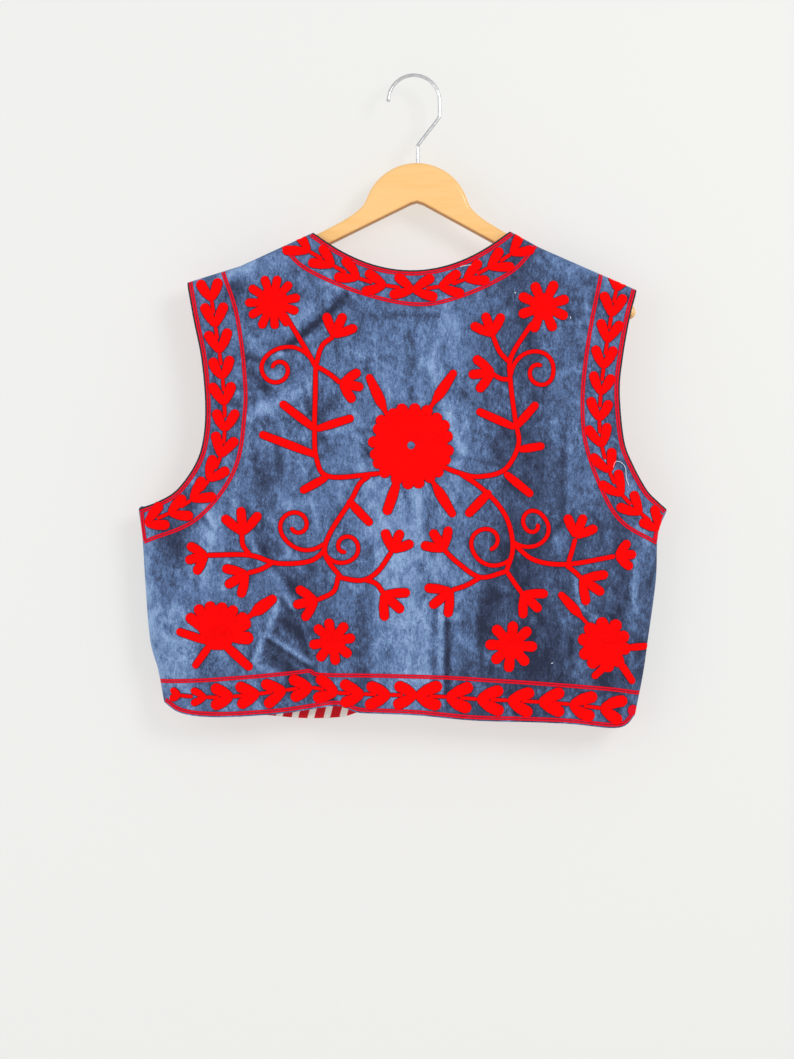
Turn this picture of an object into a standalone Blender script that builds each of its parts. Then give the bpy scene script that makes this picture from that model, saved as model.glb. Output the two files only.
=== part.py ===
"""A cropped, open-fronted velvet vest hanging with its back to the viewer from a wooden hanger.

Units are metres, +Z up. The origin is the seat of the hanger's hook, where a rail or nail carries it,
and "drop" is the distance below that seat, so z = -drop. The back panel faces -Y and the fronts face +Y;
the left side of the vest is at -X. The shoulder and side seams lie in the plane y = 0.

Each cloth panel is a patch between four edges laid out in x and drop: shoulder, hem, outer side and the
far side. Its depth comes from one formula: a turn over the hanger at the shoulder, a turn at the side
seam, and the hanging folds. A wall's inner face is its outer face moved in along the normals.
"""

import math
from collections import namedtuple

import bmesh
import bpy
import numpy as np

# ---------------------------------------------------------------- driving dimensions

SEAM_GAP = 0.0003  # between two pieces that are sewn together or lie on each other
VELVET_WALL = 0.002  # velvet with its interlining
LINING_WALL = 0.001  # striped cotton

SHOULDER_TURN = 0.0105  # how far below the shoulder seam the cloth has turned to hang straight
BACK_SIDE_TURN = 0.055  # how far in from the side seam the cloth has turned to lie flat
FRONT_SIDE_TURN = 0.034

LEFT_NECK_X, RIGHT_NECK_X = -0.1020, 0.0970
NAPE_DROP = 0.1960

LEFT_FREE_EDGE, RIGHT_FREE_EDGE = -0.0220, 0.0030  # x of each front's free edge
BREAK_DROP = 0.370  # where a front's neckline runs into its free edge
FRONT_CORNER = 0.060  # radius of the round lower corner of a front
LEFT_FRONT_HEM, RIGHT_FRONT_HEM = 0.6447, 0.6450  # drop of each front's hem beside its round corner

HANGER_X = 0.004
HANGER_THICK = 0.011
HANGER_EDGE = 0.004  # rounding of the wood's edges
HANGER_TILT = math.radians(1.2)  # the right arm hangs lower
DOME_TOP, DOME_RADIUS = 0.0867, 0.0533
DOME_SPREAD = math.radians(72)  # from the dome's top to where it runs into the arms
NOTCH_DROP = 0.127  # top of the notch under the middle

WIRE = 0.0036  # diameter of the hook's wire
HOOK_RADIUS = 0.0257  # from the hook's middle to the middle of the wire
HOOK_END = math.radians(92)  # how far past its top the hook comes round
SOCKET_DEPTH = 0.026  # how deep the wire sits in the wood
BALL_SHAPE = (1.0, 1.3, 1.3, 0.6)  # the wire's last points, in wire radii, which end in a small ball

Point = namedtuple("Point", "name x drop")
Side = namedtuple("Side", "name left left_drop right right_drop front_scoop")
Depth = namedtuple("Depth", "name below back front")
Fold = namedtuple("Fold", "name x drop to_x to_drop height half_width")

# The line of the two shoulder seams. Over the neck opening it is the crown that the cloth would follow.
SHOULDER_LINE = (
    Point("past the left tip", -0.3000, 0.2240),
    Point("left tip", -0.2270, 0.2065),
    Point("left border", -0.1740, 0.1900),
    Point("left neck point", LEFT_NECK_X, 0.1568),
    Point("crown", 0.0000, 0.1060),
    Point("right neck point", RIGHT_NECK_X, 0.1555),
    Point("right knee", 0.1260, 0.1715),
    Point("right tip", 0.2230, 0.2140),
    Point("past the right tip", 0.3000, 0.2460),
)

# The outer edges, top to bottom. A front's armhole is cut further in by front_scoop.
ARMHOLE = (
    Side("shoulder tip", -0.2270, 0.2065, 0.2230, 0.2140, 0.000),
    Side("upper armhole", -0.2200, 0.2450, 0.2150, 0.2450, 0.004),
    Side("chest", -0.2120, 0.2850, 0.2080, 0.2850, 0.008),
    Side("deepest", -0.2080, 0.3300, 0.2050, 0.3180, 0.011),
    Side("turn", -0.2100, 0.3650, 0.2090, 0.3650, 0.011),
    Side("lower armhole", -0.2180, 0.3900, 0.2180, 0.3900, 0.009),
    Side("scye", -0.2360, 0.4150, 0.2320, 0.4150, 0.006),
    Side("near the seam", -0.2560, 0.4270, 0.2440, 0.4270, 0.003),
    Side("underarm", -0.2765, 0.4340, 0.2540, 0.4350, 0.000),
)
SIDE_SEAM = (
    Side("underarm", -0.2765, 0.4340, 0.2540, 0.4350, 0.000),
    Side("below the underarm", -0.2725, 0.4650, 0.2450, 0.4600, 0.000),
    Side("ribs", -0.2700, 0.5050, 0.2430, 0.5050, 0.000),
    Side("waist", -0.2650, 0.5650, 0.2350, 0.5650, 0.000),
    Side("hip", -0.2570, 0.5950, 0.2300, 0.6000, 0.000),
    Side("hem corner", -0.2510, 0.6270, 0.2220, 0.6400, 0.000),
)
BACK_HEM = (
    Point("left corner", -0.2510, 0.6270),
    Point("left turn", -0.2300, 0.6380),
    Point("left panel", -0.1890, 0.6410),
    Point("left middle", -0.1140, 0.6375),
    Point("middle", -0.0140, 0.6380),
    Point("right middle", 0.0560, 0.6445),
    Point("right panel", 0.1500, 0.6475),
    Point("right turn", 0.2040, 0.6520),
    Point("right corner", 0.2220, 0.6400),
)
LEFT_HEM = (
    Point("corner at the side", -0.2510, 0.6270),
    Point("turn", -0.2290, 0.6370),
    Point("panel", -0.1700, 0.6400),
    Point("lowest", -0.1150, LEFT_FRONT_HEM),
    Point("round corner starts", LEFT_FREE_EDGE - FRONT_CORNER, LEFT_FRONT_HEM),
)
RIGHT_HEM = (
    Point("corner at the side", 0.2220, 0.6400),
    Point("turn", 0.2030, 0.6510),
    Point("panel", 0.1500, 0.6475),
    Point("round corner starts", RIGHT_FREE_EDGE + FRONT_CORNER, RIGHT_FRONT_HEM),
)
HEM_TUCK = Fold("hem tuck", -0.081, 0.638, -0.081, 0.638, 0.0105, 0.018)  # raises the back hem by its height

# A front's neckline from its neck point to the break, in shares of the way across and down.
Share = namedtuple("Share", "name across down")
NECKLINE = (
    Share("neck point", 0.00, 0.00),
    Share("collarbone", 0.10, 0.20),
    Share("breast", 0.40, 0.54),
    Share("above the break", 0.80, 0.86),
    Share("break", 1.00, 1.00),
)

FREE_EDGE_SHARES = (0.15, 0.5, 0.85)  # points along the straight free edge below the break

# How far the cloth hangs out from the seams' plane, by the distance below the shoulder line.
DEPTHS = (
    Depth("on the hanger", 0.00, SHOULDER_TURN, SHOULDER_TURN),
    Depth("shoulder blade", 0.09, 0.0125, 0.0115),
    Depth("chest", 0.24, 0.0190, 0.0135),
    Depth("waist", 0.37, 0.0210, 0.0145),
    Depth("hem", 0.48, 0.0190, 0.0135),
)
BACK_FOLDS = (
    Fold("shoulder ridge", -0.094, 0.308, -0.163, 0.345, 0.0030, 0.015),
    Fold("centre hang", -0.018, 0.400, -0.016, 0.640, 0.0042, 0.026),
    Fold("hollow beside it", 0.040, 0.420, 0.042, 0.640, -0.0034, 0.024),
    Fold("right hollow", 0.096, 0.330, 0.106, 0.640, -0.0036, 0.030),
    Fold("right ridge", 0.154, 0.350, 0.150, 0.470, 0.0028, 0.015),
    Fold("hip hollow", -0.106, 0.500, -0.112, 0.640, -0.0052, 0.024),
    Fold("hip tuck", -0.128, 0.528, -0.160, 0.585, 0.0034, 0.014),
    Fold("underarm hollow", -0.240, 0.445, -0.236, 0.490, -0.0030, 0.015),
    Fold("left ridge", -0.198, 0.425, -0.205, 0.560, 0.0030, 0.016),
)
FRONT_FOLDS = (
    Fold("left edge hang", -0.058, 0.380, -0.062, 0.640, 0.0022, 0.022),
    Fold("left hollow", -0.122, 0.380, -0.128, 0.640, -0.0028, 0.026),
    Fold("left chest", -0.148, 0.250, -0.180, 0.330, 0.0020, 0.018),
    Fold("right edge hang", 0.038, 0.380, 0.042, 0.640, 0.0020, 0.022),
    Fold("right hollow", 0.106, 0.400, 0.102, 0.640, -0.0028, 0.026),
    Fold("right chest", 0.128, 0.255, 0.166, 0.340, 0.0022, 0.016),
)

# The wood's outline from the foot of the dome out along one arm and back under it; x is the distance out.
ARM_OUTLINE = (
    Point("haunch", 0.0560, 0.1325),
    Point("arm root", 0.0700, 0.1436),
    Point("arm", 0.0960, 0.1583),
    Point("arm's middle", 0.1500, 0.1862),
    Point("near the end", 0.2060, 0.2143),
    Point("shoulder of the end", 0.2170, 0.2222),
    Point("end", 0.2215, 0.2330),
    Point("under the end", 0.2150, 0.2390),
    Point("underside, far", 0.2040, 0.2345),
    Point("underside, middle", 0.1200, 0.1900),
    Point("underside, near", 0.0480, 0.1525),
    Point("foot of the notch", 0.0150, 0.1375),
    Point("side of the notch", 0.0060, 0.1315),
)

# The wire's bend between the wood and the hook's arch.
WIRE_BEND = (
    Point("foot of the stem", HANGER_X, DOME_TOP + SOCKET_DEPTH - SEAM_GAP),
    Point("out of the wood", HANGER_X, DOME_TOP),
    Point("top of the stem", HANGER_X, 0.0750),
    Point("lower bend", HANGER_X + 0.003, 0.0650),
    Point("upper bend", HOOK_RADIUS - 0.004, 0.0435),
    Point("into the arch", HOOK_RADIUS, 0.0335),
)

# Grid lines. A turn is split by equal angles so that it stays round.
TURN_STEPS = 4
UNDERARM_SHARE = 0.56  # share of a panel's rows that lie above the underarm
ROWS_ABOVE, ROWS_BELOW = 10, 8
SHOULDER_COLUMNS, BACK_MIDDLE_COLUMNS, FRONT_MIDDLE_COLUMNS = 7, 18, 9
LINING_INSET = 0.0035  # how far the lining stops short of the velvet's free edges
CURVE_STEPS, ARM_STEPS, WIRE_STEPS = 12, 3, 3  # points to a stretch of a Catmull-Rom curve
DOME_POINTS, ARCH_POINTS, CORNER_POINTS = 7, 15, 4
EDGE_ROUND_STEPS = 3
SOCKET_SIDES = 24
SMOOTH_ANGLE = math.radians(40)
PANEL_HEIGHT = 0.44  # from shoulder to hem, for spacing the rows

BLUE_VELVET = (0.085, 0.130, 0.270)
STRIPED_COTTON = (0.640, 0.160, 0.150)
PALE_WOOD = (0.830, 0.600, 0.300)
STEEL = (0.620, 0.630, 0.640)


# ---------------------------------------------------------------- curves in x and drop

def through(points, steps=CURVE_STEPS):
    """A Catmull-Rom curve through the points, as an array of (x, drop)."""
    given = np.array([point[-2:] for point in points], float)
    ends = np.vstack([2 * given[0] - given[1], given, 2 * given[-1] - given[-2]])
    share = np.linspace(0, 1, steps, endpoint=False)[:, None]
    stretches = [
        0.5 * (2 * b + (c - a) * share + (2 * a - 5 * b + 4 * c - d) * share**2
               + (3 * b - a - 3 * c + d) * share**3)
        for a, b, c, d in zip(ends, ends[1:], ends[2:], ends[3:])
    ]
    return np.vstack([*stretches, given[-1:]])


def along(curve, shares):
    """Points of a curve at these shares of its length."""
    length = np.concatenate([[0], np.cumsum(np.hypot(*np.diff(curve, axis=0).T))])
    at = np.asarray(shares) * length[-1]
    return np.column_stack([np.interp(at, length, curve[:, axis]) for axis in range(2)])


def column(table, name):
    return [getattr(row, name) for row in table]


def shoulder_drop(x):
    return np.interp(x, column(SHOULDER_LINE, "x"), column(SHOULDER_LINE, "drop"))


def seam_x(drop, side):
    """x of a side seam; above the underarm it keeps the underarm's x."""
    return np.interp(drop, column(SIDE_SEAM, side + "_drop"), column(SIDE_SEAM, side))


def turned(share):
    """Depth, from 0 to 1, of cloth that turns through a quarter circle or ellipse."""
    return np.sqrt(1 - (1 - np.clip(share, 0, 1)) ** 2)


def turn_shares():
    """Shares of the way through a turn, at equal angles."""
    return 1 - np.cos(np.linspace(0, math.pi / 2, TURN_STEPS + 1))


def outer_side(side, front, rows):
    """Armhole and side seam, one point for each row."""
    inwards = {"left": 1, "right": -1}[side] * front
    armhole, seam = (
        through([
            (getattr(row, side) + inwards * row.front_scoop, getattr(row, side + "_drop"))
            for row in table
        ])
        for table in (ARMHOLE, SIDE_SEAM)
    )
    above = rows <= UNDERARM_SHARE
    return np.vstack([
        along(armhole, rows[above] / UNDERARM_SHARE),
        along(seam, (rows[~above] - UNDERARM_SHARE) / (1 - UNDERARM_SHARE)),
    ])


def shoulder(x):
    return np.column_stack([x, shoulder_drop(x)])


def back_top(columns):
    """Left shoulder seam, back neckline and right shoulder seam, one point for each column."""
    middle = columns - 2 * SHOULDER_COLUMNS
    left = np.linspace(ARMHOLE[0].left, LEFT_NECK_X, SHOULDER_COLUMNS + 1)
    right = np.linspace(RIGHT_NECK_X, ARMHOLE[0].right, SHOULDER_COLUMNS + 1)
    centre, half = (LEFT_NECK_X + RIGHT_NECK_X) / 2, (RIGHT_NECK_X - LEFT_NECK_X) / 2
    # Closest together near the neck points, where the neckline comes round the hanger.
    share = np.sin(np.linspace(-math.pi / 2, math.pi / 2, middle + 1)[1:-1])
    x = centre + half * share
    neck_drop = np.interp(x, (LEFT_NECK_X, RIGHT_NECK_X), shoulder_drop([LEFT_NECK_X, RIGHT_NECK_X]))
    neckline = NAPE_DROP - (NAPE_DROP - neck_drop) * share**2
    return np.vstack([shoulder(left), np.column_stack([x, neckline]), shoulder(right)])


def free_side(side, rows):
    """A front's neckline, free edge and half of its round corner, one point for each row."""
    neck_x, edge_x, hem = {
        "left": (LEFT_NECK_X, LEFT_FREE_EDGE, LEFT_FRONT_HEM),
        "right": (RIGHT_NECK_X, RIGHT_FREE_EDGE, RIGHT_FRONT_HEM),
    }[side]
    neck_drop = float(shoulder_drop(neck_x))
    neckline = [
        (neck_x + row.across * (edge_x - neck_x), neck_drop + row.down * (BREAK_DROP - neck_drop))
        for row in NECKLINE
    ]
    straight = hem - FRONT_CORNER - BREAK_DROP
    middle = [(edge_x, BREAK_DROP + straight * share) for share in FREE_EDGE_SHARES]
    corner = round_corner(side, np.linspace(0, math.pi / 4, CORNER_POINTS))
    return along(through([*neckline, *middle, *corner]), rows)


def round_corner(side, angles):
    """Points of a front's round corner; the angle is 0 on the free edge and a right angle at the hem."""
    out, edge_x, hem = {
        "left": (1, LEFT_FREE_EDGE, LEFT_FRONT_HEM),
        "right": (-1, RIGHT_FREE_EDGE, RIGHT_FRONT_HEM),
    }[side]
    x = edge_x - out * FRONT_CORNER * (1 - np.cos(angles))
    return np.column_stack([x, hem - FRONT_CORNER * (1 - np.sin(angles))])


# ---------------------------------------------------------------- the cloth's depth

def fold_height(fold, x, drop):
    """A soft ridge or hollow along a straight run, fading past its ends."""
    run_x, run_drop = fold.to_x - fold.x, fold.to_drop - fold.drop
    share = (x - fold.x) * run_x + (drop - fold.drop) * run_drop
    share = np.clip(share / max(run_x**2 + run_drop**2, SEAM_GAP**2), 0, 1)
    away = np.hypot(x - fold.x - share * run_x, drop - fold.drop - share * run_drop)
    return fold.height * np.exp(-((away / fold.half_width) ** 2))


def depth(x, drop, front):
    """How far the cloth's outer face stands from the plane y = 0."""
    below = drop - shoulder_drop(x)
    out = np.interp(below, column(DEPTHS, "below"), column(DEPTHS, "front" if front else "back"))
    for fold in FRONT_FOLDS if front else BACK_FOLDS:
        out = out + fold_height(fold, x, drop)
    side_turn = FRONT_SIDE_TURN if front else BACK_SIDE_TURN
    from_seam = np.minimum(x - seam_x(drop, "left"), seam_x(drop, "right") - x)
    return SEAM_GAP / 2 + out * turned(below / SHOULDER_TURN) * turned(from_seam / side_turn)


# ---------------------------------------------------------------- panels

def panel_rows():
    """Row shares: close together over the hanger, and one just above the hem for the lining."""
    turn = turn_shares() * SHOULDER_TURN / PANEL_HEIGHT
    above = np.linspace(turn[-1], UNDERARM_SHARE, ROWS_ABOVE + 1)[1:]
    below = np.linspace(UNDERARM_SHARE, 1 - LINING_INSET / PANEL_HEIGHT, ROWS_BELOW + 1)[1:]
    return np.concatenate([turn, above, below, [1.0]])


def patch(top, bottom, left, right, rows):
    """The Coons patch between four edges, as an array of rows of (x, drop)."""
    down = rows[:, None, None]
    across = np.linalg.norm(bottom - bottom[0], axis=1)
    across = (across / across[-1])[None, :, None]
    from_edges = (
        (1 - down) * top[None] + down * bottom[None]
        + (1 - across) * left[:, None] + across * right[:, None]
    )
    top_corners = (1 - across) * top[0] + across * top[-1]
    bottom_corners = (1 - across) * bottom[0] + across * bottom[-1]
    return from_edges - (1 - down) * top_corners - down * bottom_corners


def back_patch():
    rows = panel_rows()
    hem = through(BACK_HEM)
    width = np.hypot(*np.diff(hem, axis=0).T).sum()
    turn = turn_shares() * BACK_SIDE_TURN / width
    middle = np.linspace(turn[-1], 1 - turn[-1], BACK_MIDDLE_COLUMNS + 1)[1:-1]
    bottom = along(hem, np.concatenate([turn, middle, 1 - turn[::-1]]))
    bottom[:, 1] -= fold_height(HEM_TUCK, bottom[:, 0], np.full(len(bottom), HEM_TUCK.drop))
    sides = (outer_side(side, False, rows) for side in ("left", "right"))
    return patch(back_top(len(bottom) - 1), bottom, *sides, rows)


def front_patch(side):
    """Columns run from the outer side to the free edge, where one is kept for the lining's edge."""
    rows = panel_rows()
    corner = round_corner(side, np.linspace(math.pi / 2, math.pi / 4, CORNER_POINTS))
    hem = through([*(LEFT_HEM if side == "left" else RIGHT_HEM), *corner[1:]])
    width = np.hypot(*np.diff(hem, axis=0).T).sum()
    turn = turn_shares() * FRONT_SIDE_TURN / width
    inset = 1 - LINING_INSET / width
    shares = np.concatenate([turn, np.linspace(turn[-1], inset, FRONT_MIDDLE_COLUMNS + 1)[1:], [1.0]])
    bottom = along(hem, shares)
    tip_x, neck_x = {
        "left": (ARMHOLE[0].left, LEFT_NECK_X), "right": (ARMHOLE[0].right, RIGHT_NECK_X)
    }[side]
    top = shoulder(tip_x + (neck_x - tip_x) * shares)
    return patch(top, bottom, outer_side(side, True, rows), free_side(side, rows), rows)


def outer_face(grid, front):
    """The grid of (x, drop) as points in space."""
    x, drop = grid[..., 0], grid[..., 1]
    y = depth(x, drop, front)
    return np.stack([x, y if front else -y, -drop], axis=-1)


def moved_in(face, distance, front):
    """The face moved inwards along its normals, kept on its own side of the seams."""
    normal = np.cross(np.gradient(face, axis=1), np.gradient(face, axis=0))
    normal /= np.linalg.norm(normal, axis=-1, keepdims=True)
    outwards = 1 if front else -1
    normal *= np.sign(normal[..., 1:2]) * outwards
    inner = face - distance * normal
    kept = np.maximum(outwards * inner[..., 1], SEAM_GAP / 2)
    inner[..., 1] = outwards * kept
    return inner


def wall(name, outer, inner, material):
    """A closed wall between two faces that have the same grid."""
    rows, columns = outer.shape[:2]
    index = np.arange(rows * columns).reshape(rows, columns)
    corners = [index[:-1, :-1], index[1:, :-1], index[1:, 1:], index[:-1, 1:]]
    a, b, c, d = (part.ravel() for part in corners)
    outer_faces = np.vstack([np.column_stack([a, b, c]), np.column_stack([a, c, d])])
    inner_faces = outer_faces[:, ::-1] + rows * columns
    edge = np.concatenate([index[:, 0], index[-1, 1:], index[-2::-1, -1], index[0, -2:0:-1]])
    after = np.roll(edge, -1)
    rim = np.column_stack([edge, edge + rows * columns, after + rows * columns, after])
    points = np.vstack([outer.reshape(-1, 3), inner.reshape(-1, 3)])
    mesh = bpy.data.meshes.new(name)
    mesh.from_pydata(points.tolist(), [], [*outer_faces.tolist(), *inner_faces.tolist(), *rim.tolist()])
    return placed(name, mesh, material)


def placed(name, mesh, material):
    """An object of the mesh, with its faces turned outwards and its curved stretches shaded smooth."""
    shape = bmesh.new()
    shape.from_mesh(mesh)
    bmesh.ops.recalc_face_normals(shape, faces=shape.faces)
    shape.to_mesh(mesh)
    shape.free()
    mesh.shade_smooth()
    mesh.set_sharp_from_angle(angle=SMOOTH_ANGLE)
    mesh.materials.append(material)
    thing = bpy.data.objects.new(name, mesh)
    bpy.context.scene.collection.objects.link(thing)
    return thing


def finish(name, colour, roughness, metallic=0.0, sheen=0.0):
    material = bpy.data.materials.new(name)
    material.use_nodes = True
    shader = material.node_tree.nodes["Principled BSDF"]
    shader.inputs["Base Color"].default_value = (*colour, 1)
    shader.inputs["Roughness"].default_value = roughness
    shader.inputs["Metallic"].default_value = metallic
    shader.inputs["Sheen Weight"].default_value = sheen
    return material


def make_panels():
    velvet = finish("blue velvet", BLUE_VELVET, 0.85, sheen=0.6)
    back = outer_face(back_patch(), False)
    wall("back_panel", back, moved_in(back, VELVET_WALL, False), velvet)
    for side in ("left", "right"):
        front = outer_face(front_patch(side), True)
        wall(f"front_panel_{side}", front, moved_in(front, VELVET_WALL, True), velvet)
        if side == "left":
            make_lining(front)


def make_lining(front):
    """The left front's lining: it stops short of the velvet's hem, sides and shoulder."""
    faces = (
        moved_in(front, VELVET_WALL + SEAM_GAP, True),
        moved_in(front, VELVET_WALL + SEAM_GAP + LINING_WALL, True),
    )
    outer, inner = (face[2:-1, 1:-1] for face in faces)
    wall("front_lining_left", outer, inner, finish("striped cotton", STRIPED_COTTON, 0.8))


# ---------------------------------------------------------------- hanger

def hanger_outline():
    """The wood's outline, clockwise from the dome's top, as an array of (x, drop) with the tilt applied."""
    angles = np.linspace(0, DOME_SPREAD, DOME_POINTS)
    dome = np.column_stack([
        DOME_RADIUS * np.sin(angles), DOME_TOP + DOME_RADIUS * (1 - np.cos(angles))
    ])
    arm = through([dome[-1], *ARM_OUTLINE], ARM_STEPS)[1:]
    half = np.vstack([dome, arm, [0, NOTCH_DROP]])
    outline = np.vstack([half, half[-2:0:-1] * (-1, 1)])
    out, drop = outline[:, 0], outline[:, 1] - DOME_TOP
    return np.column_stack([
        HANGER_X + out * math.cos(HANGER_TILT) - drop * math.sin(HANGER_TILT),
        DOME_TOP + drop * math.cos(HANGER_TILT) + out * math.sin(HANGER_TILT),
    ])


def inset(outline, distance):
    """The outline moved inwards by a distance, mitred at its corners."""
    edge = np.roll(outline, -1, axis=0) - outline
    normal = np.column_stack([-edge[:, 1], edge[:, 0]]) / np.hypot(*edge.T)[:, None]
    before = np.roll(normal, 1, axis=0)
    mitre = (normal + before) / (1 + (normal * before).sum(axis=1))[:, None]
    return outline + distance * mitre


def make_hanger_body():
    outline = hanger_outline()
    half = HANGER_THICK / 2
    angles = np.linspace(0, math.pi / 2, EDGE_ROUND_STEPS + 1)
    sections = [(HANGER_EDGE * (1 - math.sin(a)), half - HANGER_EDGE * (1 - math.cos(a))) for a in angles]
    sections += [(step, -y) for step, y in reversed(sections)]
    rings = [[(x, -y, -drop) for x, drop in inset(outline, step)] for step, y in sections]
    mesh = bmesh.new()
    loops = [[mesh.verts.new(point) for point in ring] for ring in rings]
    for loop, following in zip(loops, loops[1:]):
        for i, vertex in enumerate(loop):
            j = (i + 1) % len(loop)
            mesh.faces.new([vertex, following[i], following[j], loop[j]])
    mesh.faces.new(loops[0])
    mesh.faces.new(loops[-1])
    wood = bpy.data.meshes.new("hanger_wood")
    mesh.to_mesh(wood)
    mesh.free()
    body = placed("hanger_body", wood, finish("varnished pale wood", PALE_WOOD, 0.3))
    bore = body.modifiers.new("socket", "BOOLEAN")
    bore.object = socket_cutter()


def socket_cutter():
    """A drill for the hook's stem, kept clear of the wire all round."""
    radius = WIRE / 2 + SEAM_GAP
    mesh = bmesh.new()
    bmesh.ops.create_cone(
        mesh, cap_ends=True, segments=SOCKET_SIDES, depth=2 * SOCKET_DEPTH, radius1=radius, radius2=radius,
    )
    drill = bpy.data.meshes.new("socket_drill")
    mesh.to_mesh(drill)
    mesh.free()
    cutter = bpy.data.objects.new("socket_drill", drill)
    cutter.location = (HANGER_X, 0, -DOME_TOP)
    cutter.hide_render = True
    cutter.display_type = "WIRE"
    bpy.context.scene.collection.objects.link(cutter)
    return cutter


def hook_path():
    """Middle of the wire, from the foot of the stem to the hook's end, as an array of (x, drop)."""
    centre_drop = HOOK_RADIUS - WIRE / 2
    angles = np.linspace(math.pi / 2, -HOOK_END, ARCH_POINTS)
    arch = np.column_stack([HOOK_RADIUS * np.sin(angles), centre_drop - HOOK_RADIUS * np.cos(angles)])
    return through([*WIRE_BEND, *arch], WIRE_STEPS)


def make_hook():
    path = hook_path()
    curve = bpy.data.curves.new("hook_wire", "CURVE")
    curve.dimensions = "3D"
    curve.bevel_depth = WIRE / 2
    curve.bevel_resolution = 3
    curve.use_fill_caps = True
    spline = curve.splines.new("POLY")
    spline.points.add(len(path) - 1)
    for point, (x, drop) in zip(spline.points, path):
        point.co = (x, 0, -drop, 1)
    for point, radius in zip(list(spline.points)[-len(BALL_SHAPE):], BALL_SHAPE):
        point.radius = radius
    curve.materials.append(finish("plated steel", STEEL, 0.25, metallic=1.0))
    hook = bpy.data.objects.new("hanger_hook", curve)
    bpy.context.scene.collection.objects.link(hook)


def main():
    for thing in list(bpy.data.objects):
        bpy.data.objects.remove(thing)
    make_hanger_body()
    make_hook()
    make_panels()


main()
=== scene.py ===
"""Looks of an embroidered velvet vest on a wooden hanger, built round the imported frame.

Units are metres, +Z up. The origin is the seat of the hanger's hook, and "drop" is the distance below it,
so z = -drop. The back panel faces -Y, the fronts face +Y and the left side of the picture is at -X. The
tables of creases, nap and stitched motifs are in millimetres, across and down from the same seat.
"""

import math
from collections import namedtuple

import bmesh
import bpy
import numpy as np
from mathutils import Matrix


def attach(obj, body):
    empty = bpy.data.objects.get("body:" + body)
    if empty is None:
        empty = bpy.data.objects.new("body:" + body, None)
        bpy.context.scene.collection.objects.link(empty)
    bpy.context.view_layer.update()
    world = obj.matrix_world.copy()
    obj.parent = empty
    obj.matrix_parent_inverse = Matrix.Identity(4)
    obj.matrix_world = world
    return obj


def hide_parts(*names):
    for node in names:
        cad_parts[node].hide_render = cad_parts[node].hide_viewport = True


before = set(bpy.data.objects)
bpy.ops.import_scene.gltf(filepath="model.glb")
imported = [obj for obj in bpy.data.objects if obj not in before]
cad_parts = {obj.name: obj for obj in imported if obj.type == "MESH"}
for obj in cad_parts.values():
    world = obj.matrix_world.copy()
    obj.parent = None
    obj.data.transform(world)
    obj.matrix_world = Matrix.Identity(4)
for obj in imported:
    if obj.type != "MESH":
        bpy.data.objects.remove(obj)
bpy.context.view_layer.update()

MM = 0.001

# ---------------------------------------------------------------- sizes shared with the solids

SEAM_GAP = 0.0003
VELVET_WALL = 0.002
LINING_WALL = 0.001
SHOULDER_TURN = 0.0105
BACK_SIDE_TURN = 0.055
FRONT_SIDE_TURN = 0.034
LEFT_NECK_X, RIGHT_NECK_X = -0.102, 0.097
NAPE_DROP = 0.196
LEFT_FREE_EDGE, RIGHT_FREE_EDGE = -0.022, 0.003
BREAK_DROP = 0.37
FRONT_CORNER = 0.06
LEFT_FRONT_HEM, RIGHT_FRONT_HEM = 0.6447, 0.645
HANGER_X = 0.004
HANGER_THICK = 0.011
HANGER_EDGE = 0.004
HANGER_TILT = math.radians(1.2)
DOME_TOP, DOME_RADIUS = 0.0867, 0.0533
DOME_SPREAD = math.radians(72)
NOTCH_DROP = 0.127
WIRE = 0.0036
HOOK_RADIUS = 0.0257
HOOK_END = math.radians(92)
SOCKET_DEPTH = 0.026
BALL_SHAPE = (1, 1.3, 1.3, 0.6)
LINING_INSET = 0.0035
PANEL_HEIGHT = 0.44

Point = namedtuple("Point", "name x drop")
Side = namedtuple("Side", "name left left_drop right right_drop front_scoop")
Depth = namedtuple("Depth", "name below back front")
Fold = namedtuple("Fold", "name x drop to_x to_drop height half_width")

SHOULDER_LINE = (
    Point("past the left tip", -0.3, 0.224),
    Point("left tip", -0.227, 0.2065),
    Point("left border", -0.174, 0.19),
    Point("left neck point", LEFT_NECK_X, 0.1568),
    Point("crown", 0, 0.106),
    Point("right neck point", RIGHT_NECK_X, 0.1555),
    Point("right knee", 0.126, 0.1715),
    Point("right tip", 0.223, 0.214),
    Point("past the right tip", 0.3, 0.246),
)
ARMHOLE = (
    Side("shoulder tip", -0.227, 0.2065, 0.223, 0.214, 0),
    Side("upper armhole", -0.22, 0.245, 0.215, 0.245, 0.004),
    Side("chest", -0.212, 0.285, 0.208, 0.285, 0.008),
    Side("deepest", -0.208, 0.33, 0.205, 0.318, 0.011),
    Side("turn", -0.21, 0.365, 0.209, 0.365, 0.011),
    Side("lower armhole", -0.218, 0.39, 0.218, 0.39, 0.009),
    Side("scye", -0.236, 0.415, 0.232, 0.415, 0.006),
    Side("near the seam", -0.256, 0.427, 0.244, 0.427, 0.003),
    Side("underarm", -0.2765, 0.434, 0.254, 0.435, 0),
)
SIDE_SEAM = (
    Side("underarm", -0.2765, 0.434, 0.254, 0.435, 0),
    Side("below the underarm", -0.2725, 0.465, 0.245, 0.46, 0),
    Side("ribs", -0.27, 0.505, 0.243, 0.505, 0),
    Side("waist", -0.265, 0.565, 0.235, 0.565, 0),
    Side("hip", -0.257, 0.595, 0.23, 0.6, 0),
    Side("hem corner", -0.251, 0.627, 0.222, 0.64, 0),
)
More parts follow.
